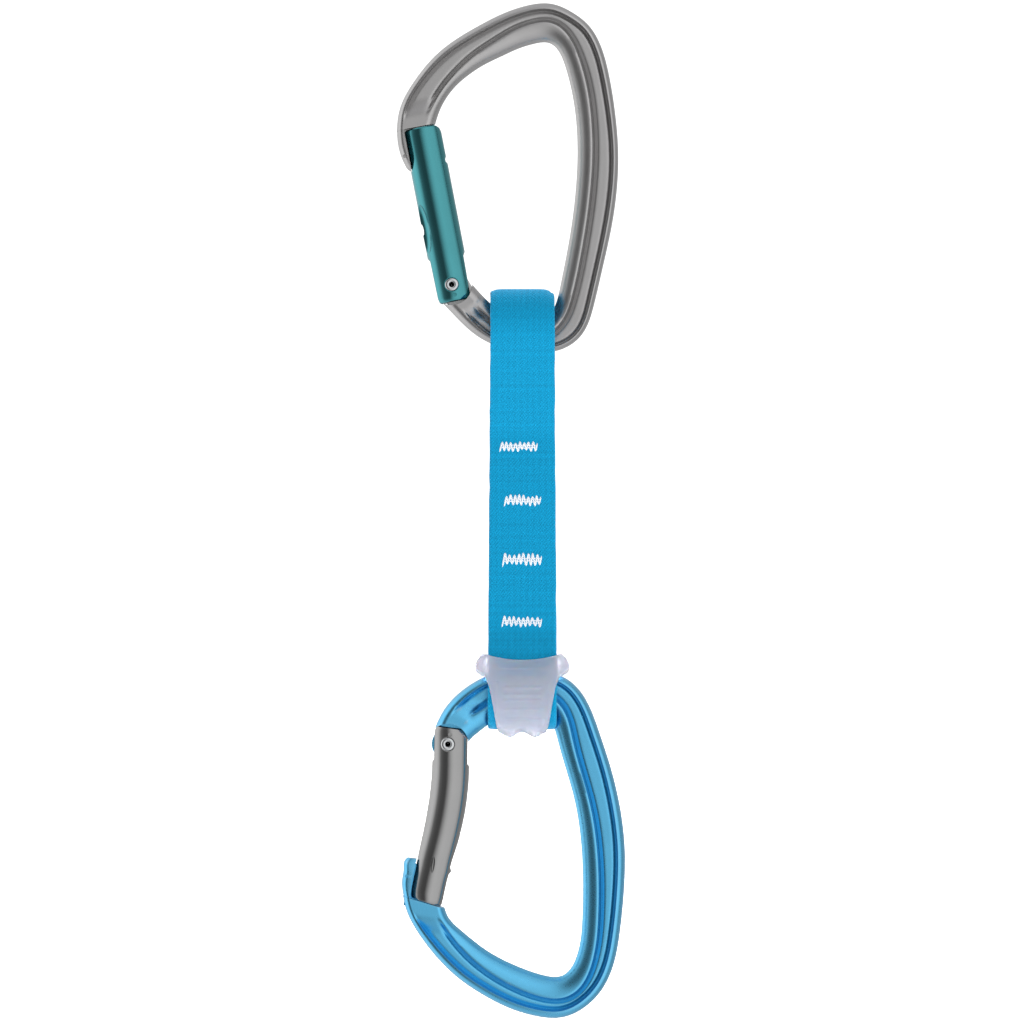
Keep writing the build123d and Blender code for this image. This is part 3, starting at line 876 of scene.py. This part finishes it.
def weave_sling():
    """The sling as one closed strip of webbing with rounded edges and a little waviness."""
    sling = bpy.context.scene.quickdraw_sling
    path = webbing_path()
    outwards = webbing_normals(path)
    half = sling.webbing / MM / 2
    share = np.clip((path[:, 1] - lower_bar[2]) / (upper_bar[2] - lower_bar[2]), 0, 1)
    width = (sling.bottom_width + share * (sling.top_width - sling.bottom_width)) / MM
    draw = random.Random(4)
    wave = np.array([draw.uniform(-1, 1) for _ in range(len(path) // 6)])
    knots = np.linspace(0, len(path), len(wave), endpoint=False)
    wander = np.interp(np.arange(len(path)), knots, wave, period=len(path)) * WAVINESS
    # The section: a flat front and back face, and a full round selvedge at each edge.
    flat = np.linspace(-1, 1, 25)
    turns = np.linspace(0, math.pi, 9)[1:-1]
    across = np.concatenate([flat, np.ones(7), flat[::-1], -np.ones(7)])
    bulge = np.concatenate([np.zeros(25), np.sin(turns), np.zeros(25), -np.sin(turns)])
    rise = np.concatenate([np.ones(25), np.cos(turns), -np.ones(25), -np.cos(turns)])
    rings = []
    top = upper_bar[2] + node_box("sling_upper_eye")[1][1] - 4
    for place, normal, wide, shift in zip(path, outwards, width, wander):
        body = wide / 2 - SELVEDGE
        x = sling_x + across * body + bulge * SELVEDGE + shift * np.abs(across)
        # The strip thins a little towards its edges, and its corners droop over the bar.
        lift = rise * (half - 0.12 * across**6)
        droop = 0.9 * np.clip(across, 0, 1) ** 10 + 0.35 * np.clip(-across, 0, 1) ** 12
        droop = droop * ease(place[1], top - 4, top + 3)
        y = place[0] + normal[0] * lift
        z = place[1] + normal[1] * lift - droop
        rings.append(np.stack([x, y, z], axis=1))
    size = len(rings[0])
    piece = new_mesh_object(
        "sewn_webbing", np.concatenate(rings), ring_faces(len(rings), size, closed=True)
    )
    lay_yarns(piece, path)
    return piece


def lay_yarns(piece, path):
    """Gives the webbing a map in metres: across the strip, and along its length."""
    steps = np.linalg.norm(np.roll(path, -1, axis=0) - path, axis=1)
    along = np.concatenate([[0], np.cumsum(steps)])[:-1]
    points = np.array([vertex.co for vertex in piece.data.vertices]) / MM
    nearest = np.array([
        np.argmin((path[:, 0] - point[1]) ** 2 + (path[:, 1] - point[2]) ** 2)
        for point in points
    ])
    length = along[nearest]
    layer = piece.data.uv_layers.new(name="yarns")
    total = steps.sum()
    for polygon in piece.data.polygons:
        corners = [piece.data.loops[loop].vertex_index for loop in polygon.loop_indices]
        first = length[corners[0]]
        for loop, corner in zip(polygon.loop_indices, corners):
            place = length[corner]
            if place - first > total / 2:
                place -= total
            if first - place > total / 2:
                place += total
            layer.data[loop].uv = ((points[corner][0] - sling_x) * MM, place * MM)


class QUICKDRAW_OT_sling(bpy.types.Operator):
    """Weave the sling as one strip that bends between its upper eye and its sewn body"""

    bl_idname = "quickdraw.sling"
    bl_label = "Sling"

    def execute(self, context):
        sling = context.scene.quickdraw_sling
        piece = weave_sling()
        smooth_shade(piece, 60)
        nylon = woven_nylon(sling.webbing_colour, sling.yarn)
        dress(piece, nylon, None, ["sling_upper_eye", "sling_body"])
        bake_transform(piece)
        return {"FINISHED"}


# ------------------------------------------------------------------------------ stitches
def sweep_thread(line, radius, sides=8):
    """Rings of a round thread along a line of points, drawn in to a tip at both ends."""
    line = np.asarray(line, float)
    for _ in range(2):
        soft = line[1:-1] * 0.5 + (line[:-2] + line[2:]) * 0.25
        line = np.concatenate([line[:1], soft, line[-1:]])
    run = np.gradient(line, axis=0)
    run /= np.linalg.norm(run, axis=1)[:, None]
    depth = np.array([0.0, 1.0, 0.0])
    turns = full_turn(sides)
    rings = []
    for place, (point, direction) in enumerate(zip(line, run)):
        side = np.cross(direction, depth)
        side /= np.linalg.norm(side)
        lift = np.cross(side, direction)
        size = radius * (0.45 if place in (0, len(line) - 1) else 1.0)
        rings.append(
            point + size * (np.cos(turns)[:, None] * side + np.sin(turns)[:, None] * lift)
        )
    return rings


STITCHES = 17                # in each bar tack's zigzag
TACK_DEPTH = 0.42            # from the CAD tack's outer face in to the zigzag's thread
BASE_ROWS = (-0.45, 0.25)    # heights of the two base rows under the zigzag
BASE_STEPS = 40
# Each bar tack as it was sewn: moved across and up, its length and its height.
TACKS = (
    (-1.0, 0.0, 10.4, 4.0), (0.1, -0.2, 10.1, 4.3), (0.0, -0.3, 10.8, 5.0),
    (-0.1, -0.6, 10.9, 4.3),
)


def sew_tack(number, thread):
    """One bar tack: a zigzag of thread over its base stitches, on the front and the back."""
    low, high = node_box(f"bar_tack_{number}")
    moved, raised, length, height = TACKS[number - 1]
    middle = (low[2] + high[2]) / 2 + raised
    draw = random.Random(10 + number)
    points, faces = [], []
    for side in (-1, 1):
        face = side * (high[1] - TACK_DEPTH)
        zigzag = []
        for stitch in range(STITCHES + 1):
            x = sling_x + moved + length * (stitch / STITCHES - 0.5)
            x += draw.uniform(-0.13, 0.13)
            tip = height / 2 * (0.82 + draw.uniform(-0.25, 0.12)) * (1 if stitch % 2 else -1)
            zigzag.append((x, face, middle + tip))
        fine = []
        for start, end in zip(zigzag[:-1], zigzag[1:]):
            for share in np.linspace(0, 1, 7)[:-1]:
                point = np.array(start) * (1 - share) + np.array(end) * share
                point[1] += side * 0.12 * math.sin(math.pi * share)
                fine.append(point)
        lines = [fine]
        for row, level in enumerate(BASE_ROWS):
            steps = np.arange(BASE_STEPS)
            lines.append(np.stack([
                sling_x + moved + (length - 0.3) * (steps / (BASE_STEPS - 1) - 0.5),
                np.full(BASE_STEPS, face - side * 0.08),
                middle + level + 0.16 * np.sin(steps * 0.9 + row + number),
            ], axis=1))
        for line in lines:
            rings = sweep_thread(line, thread / MM / 2)
            start, size = len(points), len(rings[0])
            points.extend(np.concatenate(rings))
            faces += [
                tuple(start + corner for corner in quad)
                for quad in ring_faces(len(rings), size)
            ]
            faces.append(tuple(range(start, start + size)))
            faces.append(tuple(range(len(points) - size, len(points))))
    return new_mesh_object(f"stitching_{number}", np.array(points), faces)


class QUICKDRAW_OT_tacks(bpy.types.Operator):
    """Sew the four bar tacks through both plies"""

    bl_idname = "quickdraw.tacks"
    bl_label = "Bar tacks"

    def execute(self, context):
        sling = context.scene.quickdraw_sling
        polyester = bonded_thread(sling.thread_colour)
        for number in range(1, len(TACKS) + 1):
            piece = sew_tack(number, sling.thread)
            smooth_shade(piece, 80)
            dress(piece, polyester, "sling", [f"bar_tack_{number}"])
        return {"FINISHED"}


# ------------------------------------------------------------------------------- keeper
# The keeper's front outline: half its width, at heights above the lower eye's axis.
KEEPER_OUTLINE = (
    (10.4, 10.6), (9.8, 11.5), (8.8, 12.3), (7.6, 12.9), (6.4, 12.7), (5.6, 11.6),
    (4.9, 10.3), (2.0, 9.0), (-2.0, 8.1), (-6.0, 7.3), (-8.6, 6.6), (-10.6, 6.1),
)
RUBBER_GAP = 0.12            # between the webbing and the rubber
RUBBER_GRID = 0.28           # size of the grid that rounds the rubber's edges
COLLAR_HEIGHTS = (5.3, 10.4)            # above the lower eye's axis
OPENING_HEIGHTS = (4.0, 12.0)
COLLAR_SIDES = 72
RIB_LEVELS = (2.4, 0.4, -1.2, -3.6, -6.2)
RIB_RISE, RIB_WIDTH = 0.22, 0.38


def mould_keeper():
    """The keeper: a ribbed strap under the eye, and a collar with two ears above the bar."""
    sling = bpy.context.scene.quickdraw_sling
    wall = sling.keeper_wall / MM
    path = webbing_path()
    outwards = webbing_normals(path)
    skin = sling.webbing / MM / 2 + RUBBER_GAP
    heights = path[:, 1] - lower_bar[2]
    covered = heights < KEEPER_OUTLINE[0][0]
    # The strap starts at the front's top edge, runs under the eye and ends at the back.
    start = np.flatnonzero((path[:, 0] < 0) & covered).max()
    outline = np.array(KEEPER_OUTLINE)[::-1]
    sides = np.linspace(-1, 1, 13)
    rings = []
    for step in range(covered.sum()):
        index = (start - step) % len(path)
        wide = np.interp(heights[index], outline[:, 0], outline[:, 1])
        inner = path[index] + outwards[index] * skin
        outer = path[index] + outwards[index] * (skin + wall)
        ring = [(sling_x + side * wide, *outer) for side in sides]
        ring += [(sling_x + side * wide, *inner) for side in sides[::-1]]
        rings.append(np.array(ring))
    strap = loft("rubber_keeper", rings)
    combine(strap, mould_collar(path, heights, skin, wall), "UNION")
    soften = strap.modifiers.new("soften", "REMESH")
    soften.mode = "VOXEL"
    soften.voxel_size = RUBBER_GRID * MM
    apply_modifiers(strap)
    relax = strap.modifiers.new("relax", "SMOOTH")
    relax.factor = 0.5
    relax.iterations = 6
    apply_modifiers(strap)
    shape_keeper(strap)
    return strap


def mould_collar(path, heights, skin, wall):
    """The ring that closes the keeper beside the webbing, above the bar."""
    outline = np.array(KEEPER_OUTLINE)[::-1]
    turns = full_turn(COLLAR_SIDES)
    squared = [np.sign(part) * np.abs(part) ** 0.55 for part in (np.cos(turns), np.sin(turns))]

    def skin_depth(height):
        """From the sling's middle plane out to the skin, on the front at a height."""
        near = np.argmin(np.abs(heights - height) + 100 * (path[:, 0] > 0))
        return skin - path[near, 0]

    rings, opening = [], []
    for height in np.linspace(*COLLAR_HEIGHTS, 9):
        wide = np.interp(height, outline[:, 0], outline[:, 1])
        deep = skin_depth(height) + wall
        level = np.full(COLLAR_SIDES, lower_bar[2] + height)
        rings.append(np.stack([sling_x + wide * squared[0], deep * squared[1], level], axis=1))
    wide = bpy.context.scene.quickdraw_sling.bottom_width / MM / 2 + 0.15
    for height in np.linspace(*OPENING_HEIGHTS, 9):
        deep = skin_depth(height)
        opening.append(np.array([
            (sling_x + across * wide, side * deep, lower_bar[2] + height)
            for across, side in ((-1, -1), (1, -1), (1, 1), (-1, 1))
        ]))
    collar = loft("collar", rings)
    combine(collar, loft("opening", opening), "DIFFERENCE")
    return collar


def shape_keeper(piece):
    """Raises the keeper's ribs, dips its top edge and waves its lower lip."""
    mesh = piece.data
    points = np.array([vertex.co for vertex in mesh.vertices]) / MM
    normals = np.array([vertex.normal for vertex in mesh.vertices])
    across = points[:, 0] - sling_x
    height = points[:, 2] - lower_bar[2]
    outside = np.sign(points[:, 1]) == np.sign(normals[:, 1])
    front = ease(np.abs(normals[:, 1]), 0.5, 0.8) * outside
    middle = 1 - ease(np.abs(across), 4.6, 5.6)
    ribs = np.zeros(len(points))
    for level in RIB_LEVELS:
        ribs += np.exp(-(((height - level) / RIB_WIDTH) ** 2))
    points += (RIB_RISE * ribs * front * middle)[:, None] * normals
    panel = ease(np.abs(across), 6.4, 7.0) * (1 - ease(np.abs(across), 7.2, 7.8))
    points += (0.15 * panel * front * (height < 4))[:, None] * normals
    dip = 1.3 * (1 - np.clip(np.abs(across) / 9.4, 0, 1) ** 2) * ease(height, 7.0, 10.4)
    points[:, 2] -= dip
    lip = ease(-height, 8.2, 10.4)
    points[:, 2] += lip * 0.7 * np.cos(across * 0.9)
    mesh.vertices.foreach_set("co", (points * MM).ravel())
    mesh.update()


class QUICKDRAW_OT_keeper(bpy.types.Operator):
    """Mould the clear rubber keeper round the lower eye"""

    bl_idname = "quickdraw.keeper"
    bl_label = "Rubber keeper"

    def execute(self, context):
        sling = context.scene.quickdraw_sling
        piece = mould_keeper()
        smooth_shade(piece, 80)
        rubber = clear_rubber(sling.keeper_colour)
        dress(piece, rubber, "sling", ["keeper"])
        return {"FINISHED"}


# ---------------------------------------------------------------------------- materials
def add_node(tree, kind, settings=None, **links):
    """Adds a node with its settings, a ramp's stops too, and links or sets its inputs."""
    node = tree.nodes.new("ShaderNode" + kind)
    settings = dict(settings or {})
    stops = settings.pop("stops", ())
    for name, value in settings.items():
        setattr(node, name, value)
    for _ in stops[2:]:
        node.color_ramp.elements.new(1.0)
    for number, (position, colour) in enumerate(stops):
        node.color_ramp.elements[number].position = position
        node.color_ramp.elements[number].color = colour
    feed(node, **links)
    return node


def feed(node, **inputs):
    """Links a node's inputs to sockets, or gives them values that are even all over."""
    for name, value in inputs.items():
        key = int(name[1:]) if name[0] == "i" and name[1:].isdigit() else name.replace("_", " ")
        if isinstance(value, bpy.types.NodeSocket):
            node.id_data.links.new(value, node.inputs[key])
        else:
            node.inputs[key].default_value = value


def new_material(name):
    """A material with its tree, its surface shader and a place on the piece to draw by."""
    material = bpy.data.materials.new(name)
    material.use_nodes = True
    tree = material.node_tree
    tree.nodes.clear()
    output = add_node(tree, "OutputMaterial")
    shader = add_node(tree, "BsdfPrincipled")
    feed(output, Surface=shader.outputs[0])
    place = add_node(tree, "TexCoord").outputs["Object"]
    return material, tree, shader, place


def shade_of(colour, factor):
    """A colour made darker or lighter, as a node socket takes it."""
    return tuple(min(channel * factor, 1.0) for channel in colour) + (1.0,)


def anodised_aluminium(name, colour, roughness):
    """Hot-forged aluminium, tumbled and dyed: an even satin skin over a fine pebble grain."""
    material, tree, shader, place = new_material(name)
    grain_mm = 0.35
    grain = add_node(tree, "TexNoise", Vector=place, Scale=1 / (grain_mm * MM), Detail=3.0)
    cloud = add_node(tree, "TexNoise", Vector=place, Scale=1 / (9 * MM), Detail=2.0)
    patchy = add_node(
        tree, "Mix", {"data_type": "RGBA"}, i0=cloud.outputs["Fac"],
        i6=shade_of(colour, 0.93), i7=shade_of(colour, 1.05),
    ).outputs[2]
    # Painted highlight: the proud edges, found by their pointiness, are drawn paler, as where the
    # light catches them.
    painted_edge_highlight = add_node(
        tree, "MapRange",
        i0=add_node(tree, "NewGeometry").outputs["Pointiness"],
        From_Min=0.52, From_Max=0.62, To_Min=0.0, To_Max=0.25,
    ).outputs[0]
    pale = tuple(0.5 * channel + 0.42 for channel in colour) + (1.0,)
    skin = add_node(
        tree, "Mix", {"data_type": "RGBA"}, i0=painted_edge_highlight, i6=patchy, i7=pale,
    ).outputs[2]
    matt = add_node(
        tree, "MapRange", i0=grain.outputs["Fac"], From_Min=0.3, From_Max=0.7,
        To_Min=roughness - 0.04, To_Max=roughness + 0.05,
    ).outputs[0]
    bump = add_node(
        tree, "Bump", Height=grain.outputs["Fac"], Strength=0.14, Distance=0.03 * MM,
    ).outputs[0]
    feed(shader, Base_Color=skin, Roughness=matt, Normal=bump, Metallic=1.0)
    return material


def turned_aluminium(name, colour):
    """Turned and anodised aluminium rod: glossy dye over fine rings from the lathe."""
    material, tree, shader, place = new_material(name)
    ring_mm = 0.25
    rings = add_node(
        tree, "TexWave", {"bands_direction": "Z"}, Vector=place,
        Scale=math.tau / (20 * ring_mm * MM), Distortion=1.5, Detail=2.0,
    )
    cloud = add_node(tree, "TexNoise", Vector=place, Scale=1 / (6 * MM), Detail=2.0)
    skin = add_node(
        tree, "Mix", {"data_type": "RGBA"}, i0=cloud.outputs["Fac"],
        i6=shade_of(colour, 0.94), i7=shade_of(colour, 1.06),
    ).outputs[2]
    gloss = add_node(
        tree, "MapRange", i0=rings.outputs["Fac"], To_Min=0.15, To_Max=0.20,
    ).outputs[0]
    bump = add_node(
        tree, "Bump", Height=rings.outputs["Fac"], Strength=0.15, Distance=0.01 * MM,
    ).outputs[0]
    feed(shader, Base_Color=skin, Roughness=gloss, Normal=bump, Metallic=1.0)
    return material


def rivet_steel(colour):
    """Cold-headed stainless steel: bright, with faint scratches from the heading tool."""
    material, tree, shader, place = new_material("headed_stainless_steel")
    scratches = add_node(
        tree, "TexNoise", Vector=place, Scale=1 / (0.4 * MM), Detail=4.0,
    )
    skin = add_node(
        tree, "Mix", {"data_type": "RGBA"}, i0=scratches.outputs["Fac"],
        i6=shade_of(colour, 0.9), i7=shade_of(colour, 1.0),
    ).outputs[2]
    gloss = add_node(
        tree, "MapRange", i0=scratches.outputs["Fac"], To_Min=0.14, To_Max=0.3,
    ).outputs[0]
    feed(shader, Base_Color=skin, Roughness=gloss, Metallic=1.0)
    return material


def brass():
    """Turned brass push rod: warm yellow, slightly dull from grease."""
    material, tree, shader, place = new_material("turned_brass")
    cloud = add_node(tree, "TexNoise", Vector=place, Scale=1 / (0.8 * MM), Detail=3.0)
    stops = ((0.35, linear("#A88A4A") + (1.0,)), (0.65, linear("#D0B36B") + (1.0,)))
    skin = add_node(
        tree, "ValToRGB", {"stops": stops}, Fac=cloud.outputs["Fac"],
    ).outputs[0]
    feed(shader, Base_Color=skin, Metallic=1.0, Roughness=0.35)
    return material


def spring_wire():
    """Drawn spring steel: grey wire with drawing lines along it."""
    material, tree, shader, place = new_material("drawn_spring_steel")
    lines = add_node(tree, "TexNoise", Vector=place, Scale=1 / (0.3 * MM), Detail=2.0)
    stops = ((0.35, linear("#7E8286") + (1.0,)), (0.65, linear("#B9BDC1") + (1.0,)))
    skin = add_node(
        tree, "ValToRGB", {"stops": stops}, Fac=lines.outputs["Fac"],
    ).outputs[0]
    feed(shader, Base_Color=skin, Metallic=1.0, Roughness=0.3)
    return material


def woven_nylon(colour, yarn):
    """Dyed nylon webbing: matt yarns in a plain weave, with a dense selvedge and a soft sheen."""
    material, tree, shader, place = new_material("woven_nylon_webbing")
    strip = add_node(tree, "UVMap", {"uv_map": "yarns"}).outputs[0]
    split = add_node(tree, "SeparateXYZ", Vector=strip)
    across, along = split.outputs[0], split.outputs[1]
    times, plus, sine = (
        {"operation": name} for name in ("MULTIPLY", "MULTIPLY_ADD", "SINE")
    )
    # Real yarns lie 0.5 mm apart, too fine to show, so they are drawn a little coarser.
    warp = add_node(tree, "Math", times, i0=across, i1=math.tau / yarn).outputs[0]
    weft = add_node(tree, "Math", times, i0=along, i1=0.8 * math.tau / yarn).outputs[0]
    under = add_node(tree, "Math", sine, i0=warp).outputs[0]
    over = add_node(tree, "Math", sine, i0=weft).outputs[0]
    crossing = add_node(tree, "Math", times, i0=over, i1=under).outputs[0]
    # Each pair of warp yarns draws together into a faint rib.
    half_turn = add_node(tree, "Math", times, i0=warp, i1=0.5).outputs[0]
    rib = add_node(tree, "Math", sine, i0=half_turn).outputs[0]
    fuzz = add_node(
        tree, "TexNoise", Vector=place, Scale=1 / (0.3 * MM), Detail=3.0,
    ).outputs["Fac"]
    ribbed = add_node(tree, "Math", plus, i0=rib, i1=0.35, i2=crossing).outputs[0]
    height = add_node(tree, "Math", plus, i0=fuzz, i1=0.9, i2=ribbed).outputs[0]
    # Picks of weft beaten up harder here and there leave faint bars across.
    slub_place = add_node(tree, "Math", times, i0=along, i1=900.0).outputs[0]
    slub = add_node(
        tree, "TexNoise", {"noise_dimensions": "1D"}, W=slub_place, Scale=1.0, Detail=2.0,
    ).outputs["Fac"]
    base = add_node(tree, "Math", plus, i0=height, i1=0.12, i2=0.3).outputs[0]
    shade = add_node(tree, "Math", plus, i0=slub, i1=0.28, i2=base).outputs[0]
    stops = (
        (0.2, shade_of(colour, 0.72)), (0.55, shade_of(colour, 1.0)), (0.9, shade_of(colour, 1.18)),
    )
    skin = add_node(tree, "ValToRGB", {"stops": stops}, Fac=shade).outputs[0]
    bump = add_node(tree, "Bump", Height=height, Strength=0.55, Distance=0.12 * MM)
    feed(
        shader, Base_Color=skin, Normal=bump.outputs[0], Roughness=0.82, Sheen_Weight=0.12,
        Sheen_Roughness=0.4, Specular_IOR_Level=0.15,
    )
    return material


def bonded_thread(colour):
    """Bonded polyester thread: white, slightly glossy, with the twist of its plies."""
    material, tree, shader, place = new_material("bonded_polyester_thread")
    twist = add_node(
        tree, "TexWave", {"bands_direction": "DIAGONAL"}, Vector=place,
        Scale=math.tau / (20 * 0.35 * MM), Distortion=0.6,
    )
    stops = ((0.1, shade_of(colour, 0.78)), (0.6, shade_of(colour, 1.04)))
    skin = add_node(
        tree, "ValToRGB", {"stops": stops}, Fac=twist.outputs["Fac"],
    ).outputs[0]
    bump = add_node(
        tree, "Bump", Height=twist.outputs["Fac"], Strength=0.4, Distance=0.06 * MM,
    )
    feed(shader, Base_Color=skin, Normal=bump.outputs[0], Roughness=0.6, Sheen_Weight=0.15)
    return material


def clear_rubber(colour):
    """Moulded clear polyurethane rubber: milky, soft-edged, and what lies behind shows through."""
    material, tree, shader, place = new_material("moulded_clear_polyurethane")
    cloud = add_node(tree, "TexNoise", Vector=place, Scale=1 / (3 * MM), Detail=3.0)
    skin = add_node(
        tree, "Mix", {"data_type": "RGBA"}, i0=cloud.outputs["Fac"],
        i6=shade_of(colour, 0.92), i7=shade_of(colour, 1.06),
    ).outputs[2]
    matt = add_node(
        tree, "MapRange", i0=cloud.outputs["Fac"], To_Min=0.3, To_Max=0.45,
    ).outputs[0]
    feed(
        shader, Base_Color=skin, Roughness=matt, Transmission_Weight=0.7, IOR=1.45,
        Subsurface_Weight=0.3, Subsurface_Scale=0.002,
    )
    return material


def painted_floor(colour):
    """Plain pale matt paint with a barely mottled surface."""
    material, tree, shader, place = new_material("pale_matt_paint")
    cloud = add_node(tree, "TexNoise", Vector=place, Scale=3.0)
    skin = add_node(
        tree, "Mix", {"data_type": "RGBA"}, i0=cloud.outputs["Fac"],
        i6=shade_of(colour, 0.99), i7=shade_of(colour, 1.0),
    ).outputs[2]
    # A little light of its own keeps the floor as even as a lit studio sweep.
    feed(
        shader, Base_Color=skin, Roughness=0.9, Emission_Color=(1.0, 1.0, 1.0, 1.0),
        Emission_Strength=0.6,
    )
    return material


# -------------------------------------------------------------------------------- stage
# Brightness of the room round the quickdraw, by the turn in degrees from the front, which
# is 0, to the right. The white walls at the sides give the metal its bright edges.
ROOM_WALLS = (
    (-180, 0.46), (-125, 0.90), (-98, 1.00), (-80, 0.77), (-64, 0.22), (-45, 0.12),
    (-22, 0.09), (-8, 0.42), (4, 0.70), (20, 0.85), (70, 0.77), (95, 0.31), (130, 0.38),
    (180, 0.46),
)
ROOM_POWER = 1.3
# Each lamp's place from the middle of the quickdraw, its size in metres and its watts.
LAMPS = (
    ("key_light", (0.8, -1.2, 0.5), (0.9, 1.3), 3.0),
    ("fill_light", (-0.9, -1.1, 0.2), (0.9, 1.3), 2.0),
)
FLOOR_LAMP = ("floor_light", (0.0, 1.6, 1.3), (3.0, 1.2), 60)
FLOOR_HALF = 4.0             # metres from the middle of the floor to its edge


def soft_box(name, place, size, power, target):
    """A square studio light that faces a target, in metres and watts."""
    light = bpy.data.lights.new(name, "AREA")
    light.shape = "RECTANGLE"
    light.size, light.size_y = size
    light.energy = power
    lamp = bpy.data.objects.new(name, light)
    lamp.location = place
    facing = target - lamp.location
    lamp.rotation_euler = facing.to_track_quat("-Z", "Y").to_euler()
    lamp.visible_glossy = False
    bpy.context.scene.collection.objects.link(lamp)


class QUICKDRAW_OT_stage(bpy.types.Operator):
    """Lay the pale floor, hang the soft studio lights and set the camera"""

    bl_idname = "quickdraw.stage"
    bl_label = "Floor, lights and camera"

    def execute(self, context):
        scene = context.scene
        stage = scene.quickdraw_stage
        low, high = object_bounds()
        floor_z = low.z - stage.floor_drop
        floor = new_mesh_object(
            "floor", np.array([(-1, -1, 0), (1, -1, 0), (1, 1, 0), (-1, 1, 0)]) * FLOOR_HALF / MM,
            [(0, 1, 2, 3)],
        )
        floor.location.z = floor_z
        floor.visible_glossy = False
        floor.data.materials.append(painted_floor(stage.floor_colour))
        floor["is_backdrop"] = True
        middle = (low + high) / 2
        for name, place, size, power in LAMPS:
            soft_box(name, middle + Vector(place), size, power, middle)
        name, place, size, power = FLOOR_LAMP
        soft_box(name, middle + Vector(place), size, power, Vector((*place[:2], floor_z)))
        self.light_room(scene)
        camera = bpy.data.cameras.new("camera")
        camera.sensor_width = 36.0
        camera.lens = camera.sensor_width * stage.distance / stage.view_width
        camera.clip_start = 0.05
        camera_object = bpy.data.objects.new("camera", camera)
        camera_object.location = (stage.aim_across, -stage.distance, stage.aim_height)
        camera_object.rotation_euler = (math.pi / 2, 0, 0)
        scene.collection.objects.link(camera_object)
        scene.camera = camera_object
        scene.view_settings.view_transform = "Standard"
        return {"FINISHED"}

    def light_room(self, scene):
        """A soft room for the metal to reflect: bright to the right, dark left of the front."""
        world = bpy.data.worlds.new("studio")
        scene.world = world
        world.use_nodes = True
        tree = world.node_tree
        tree.nodes.clear()
        output = add_node(tree, "OutputWorld")
        direction = add_node(tree, "TexCoord").outputs["Generated"]
        split = add_node(tree, "SeparateXYZ", Vector=direction)
        ahead = add_node(
            tree, "Math", {"operation": "MULTIPLY"}, i0=split.outputs[1], i1=-1.0,
        ).outputs[0]
        turn = add_node(
            tree, "Math", {"operation": "ARCTAN2"}, i0=split.outputs[0], i1=ahead,
        ).outputs[0]
        round_room = add_node(
            tree, "Math", {"operation": "MULTIPLY_ADD"}, i0=turn, i1=1 / math.tau, i2=0.5,
        ).outputs[0]
        stops = [(turned / 360 + 0.5, (grey, grey, grey, 1.0)) for turned, grey in ROOM_WALLS]
        walls = add_node(tree, "ValToRGB", {"stops": stops}, Fac=round_room).outputs[0]
        height = add_node(
            tree, "Math", {"operation": "ABSOLUTE"}, i0=split.outputs[2],
        ).outputs[0]
        away = add_node(tree, "MapRange", i0=height, From_Min=0.55, From_Max=0.95)
        room = add_node(
            tree, "Mix", {"data_type": "RGBA"}, i0=away.outputs[0], i6=walls,
            i7=(0.55, 0.55, 0.56, 1.0),
        ).outputs[2]
        seen = add_node(tree, "LightPath").outputs["Is Camera Ray"]
        mixed = add_node(
            tree, "Mix", {"data_type": "RGBA"}, i0=seen, i6=room, i7=(1.0, 1.0, 1.0, 1.0),
        ).outputs[2]
        backdrop = add_node(tree, "Background", Color=mixed, Strength=ROOM_POWER)
        feed(output, Surface=backdrop.outputs[0])


# ------------------------------------------------------------------------ add-on and main
OPERATORS = (
    QUICKDRAW_OT_frames, QUICKDRAW_OT_gates, QUICKDRAW_OT_rivets, QUICKDRAW_OT_sling,
    QUICKDRAW_OT_tacks, QUICKDRAW_OT_keeper, QUICKDRAW_OT_stage,
)
SETTINGS = {
    "quickdraw_metal": QuickdrawMetalSettings,
    "quickdraw_sling": QuickdrawSlingSettings,
    "quickdraw_stage": QuickdrawStageSettings,
}


class QUICKDRAW_PT_panel(bpy.types.Panel):
    """Lists the quickdraw's builders and their sizes and colours"""

    bl_idname = "QUICKDRAW_PT_panel"
    bl_label = "Climbing quickdraw"
    bl_space_type = "VIEW_3D"
    bl_region_type = "UI"
    bl_category = "Quickdraw"

    def draw(self, context):
        for operator in OPERATORS:
            self.layout.operator(operator.bl_idname)
        for name, group in SETTINGS.items():
            box = self.layout.box()
            for setting in group.__annotations__:
                box.prop(getattr(context.scene, name), setting)


def register():
    for group in SETTINGS.values():
        bpy.utils.register_class(group)
    for name, group in SETTINGS.items():
        setattr(bpy.types.Scene, name, bpy.props.PointerProperty(type=group))
    for operator in OPERATORS:
        bpy.utils.register_class(operator)
    bpy.utils.register_class(QUICKDRAW_PT_panel)


def unregister():
    bpy.utils.unregister_class(QUICKDRAW_PT_panel)
    for operator in reversed(OPERATORS):
        bpy.utils.unregister_class(operator)
    for name, group in SETTINGS.items():
        delattr(bpy.types.Scene, name)
        bpy.utils.unregister_class(group)


def main():
    register()
    bpy.ops.quickdraw.frames()
    bpy.ops.quickdraw.gates()
    bpy.ops.quickdraw.rivets()
    bpy.ops.quickdraw.sling()
    bpy.ops.quickdraw.tacks()
    bpy.ops.quickdraw.keeper()
    bpy.ops.quickdraw.stage()


if __name__ == "__main__":
    main()
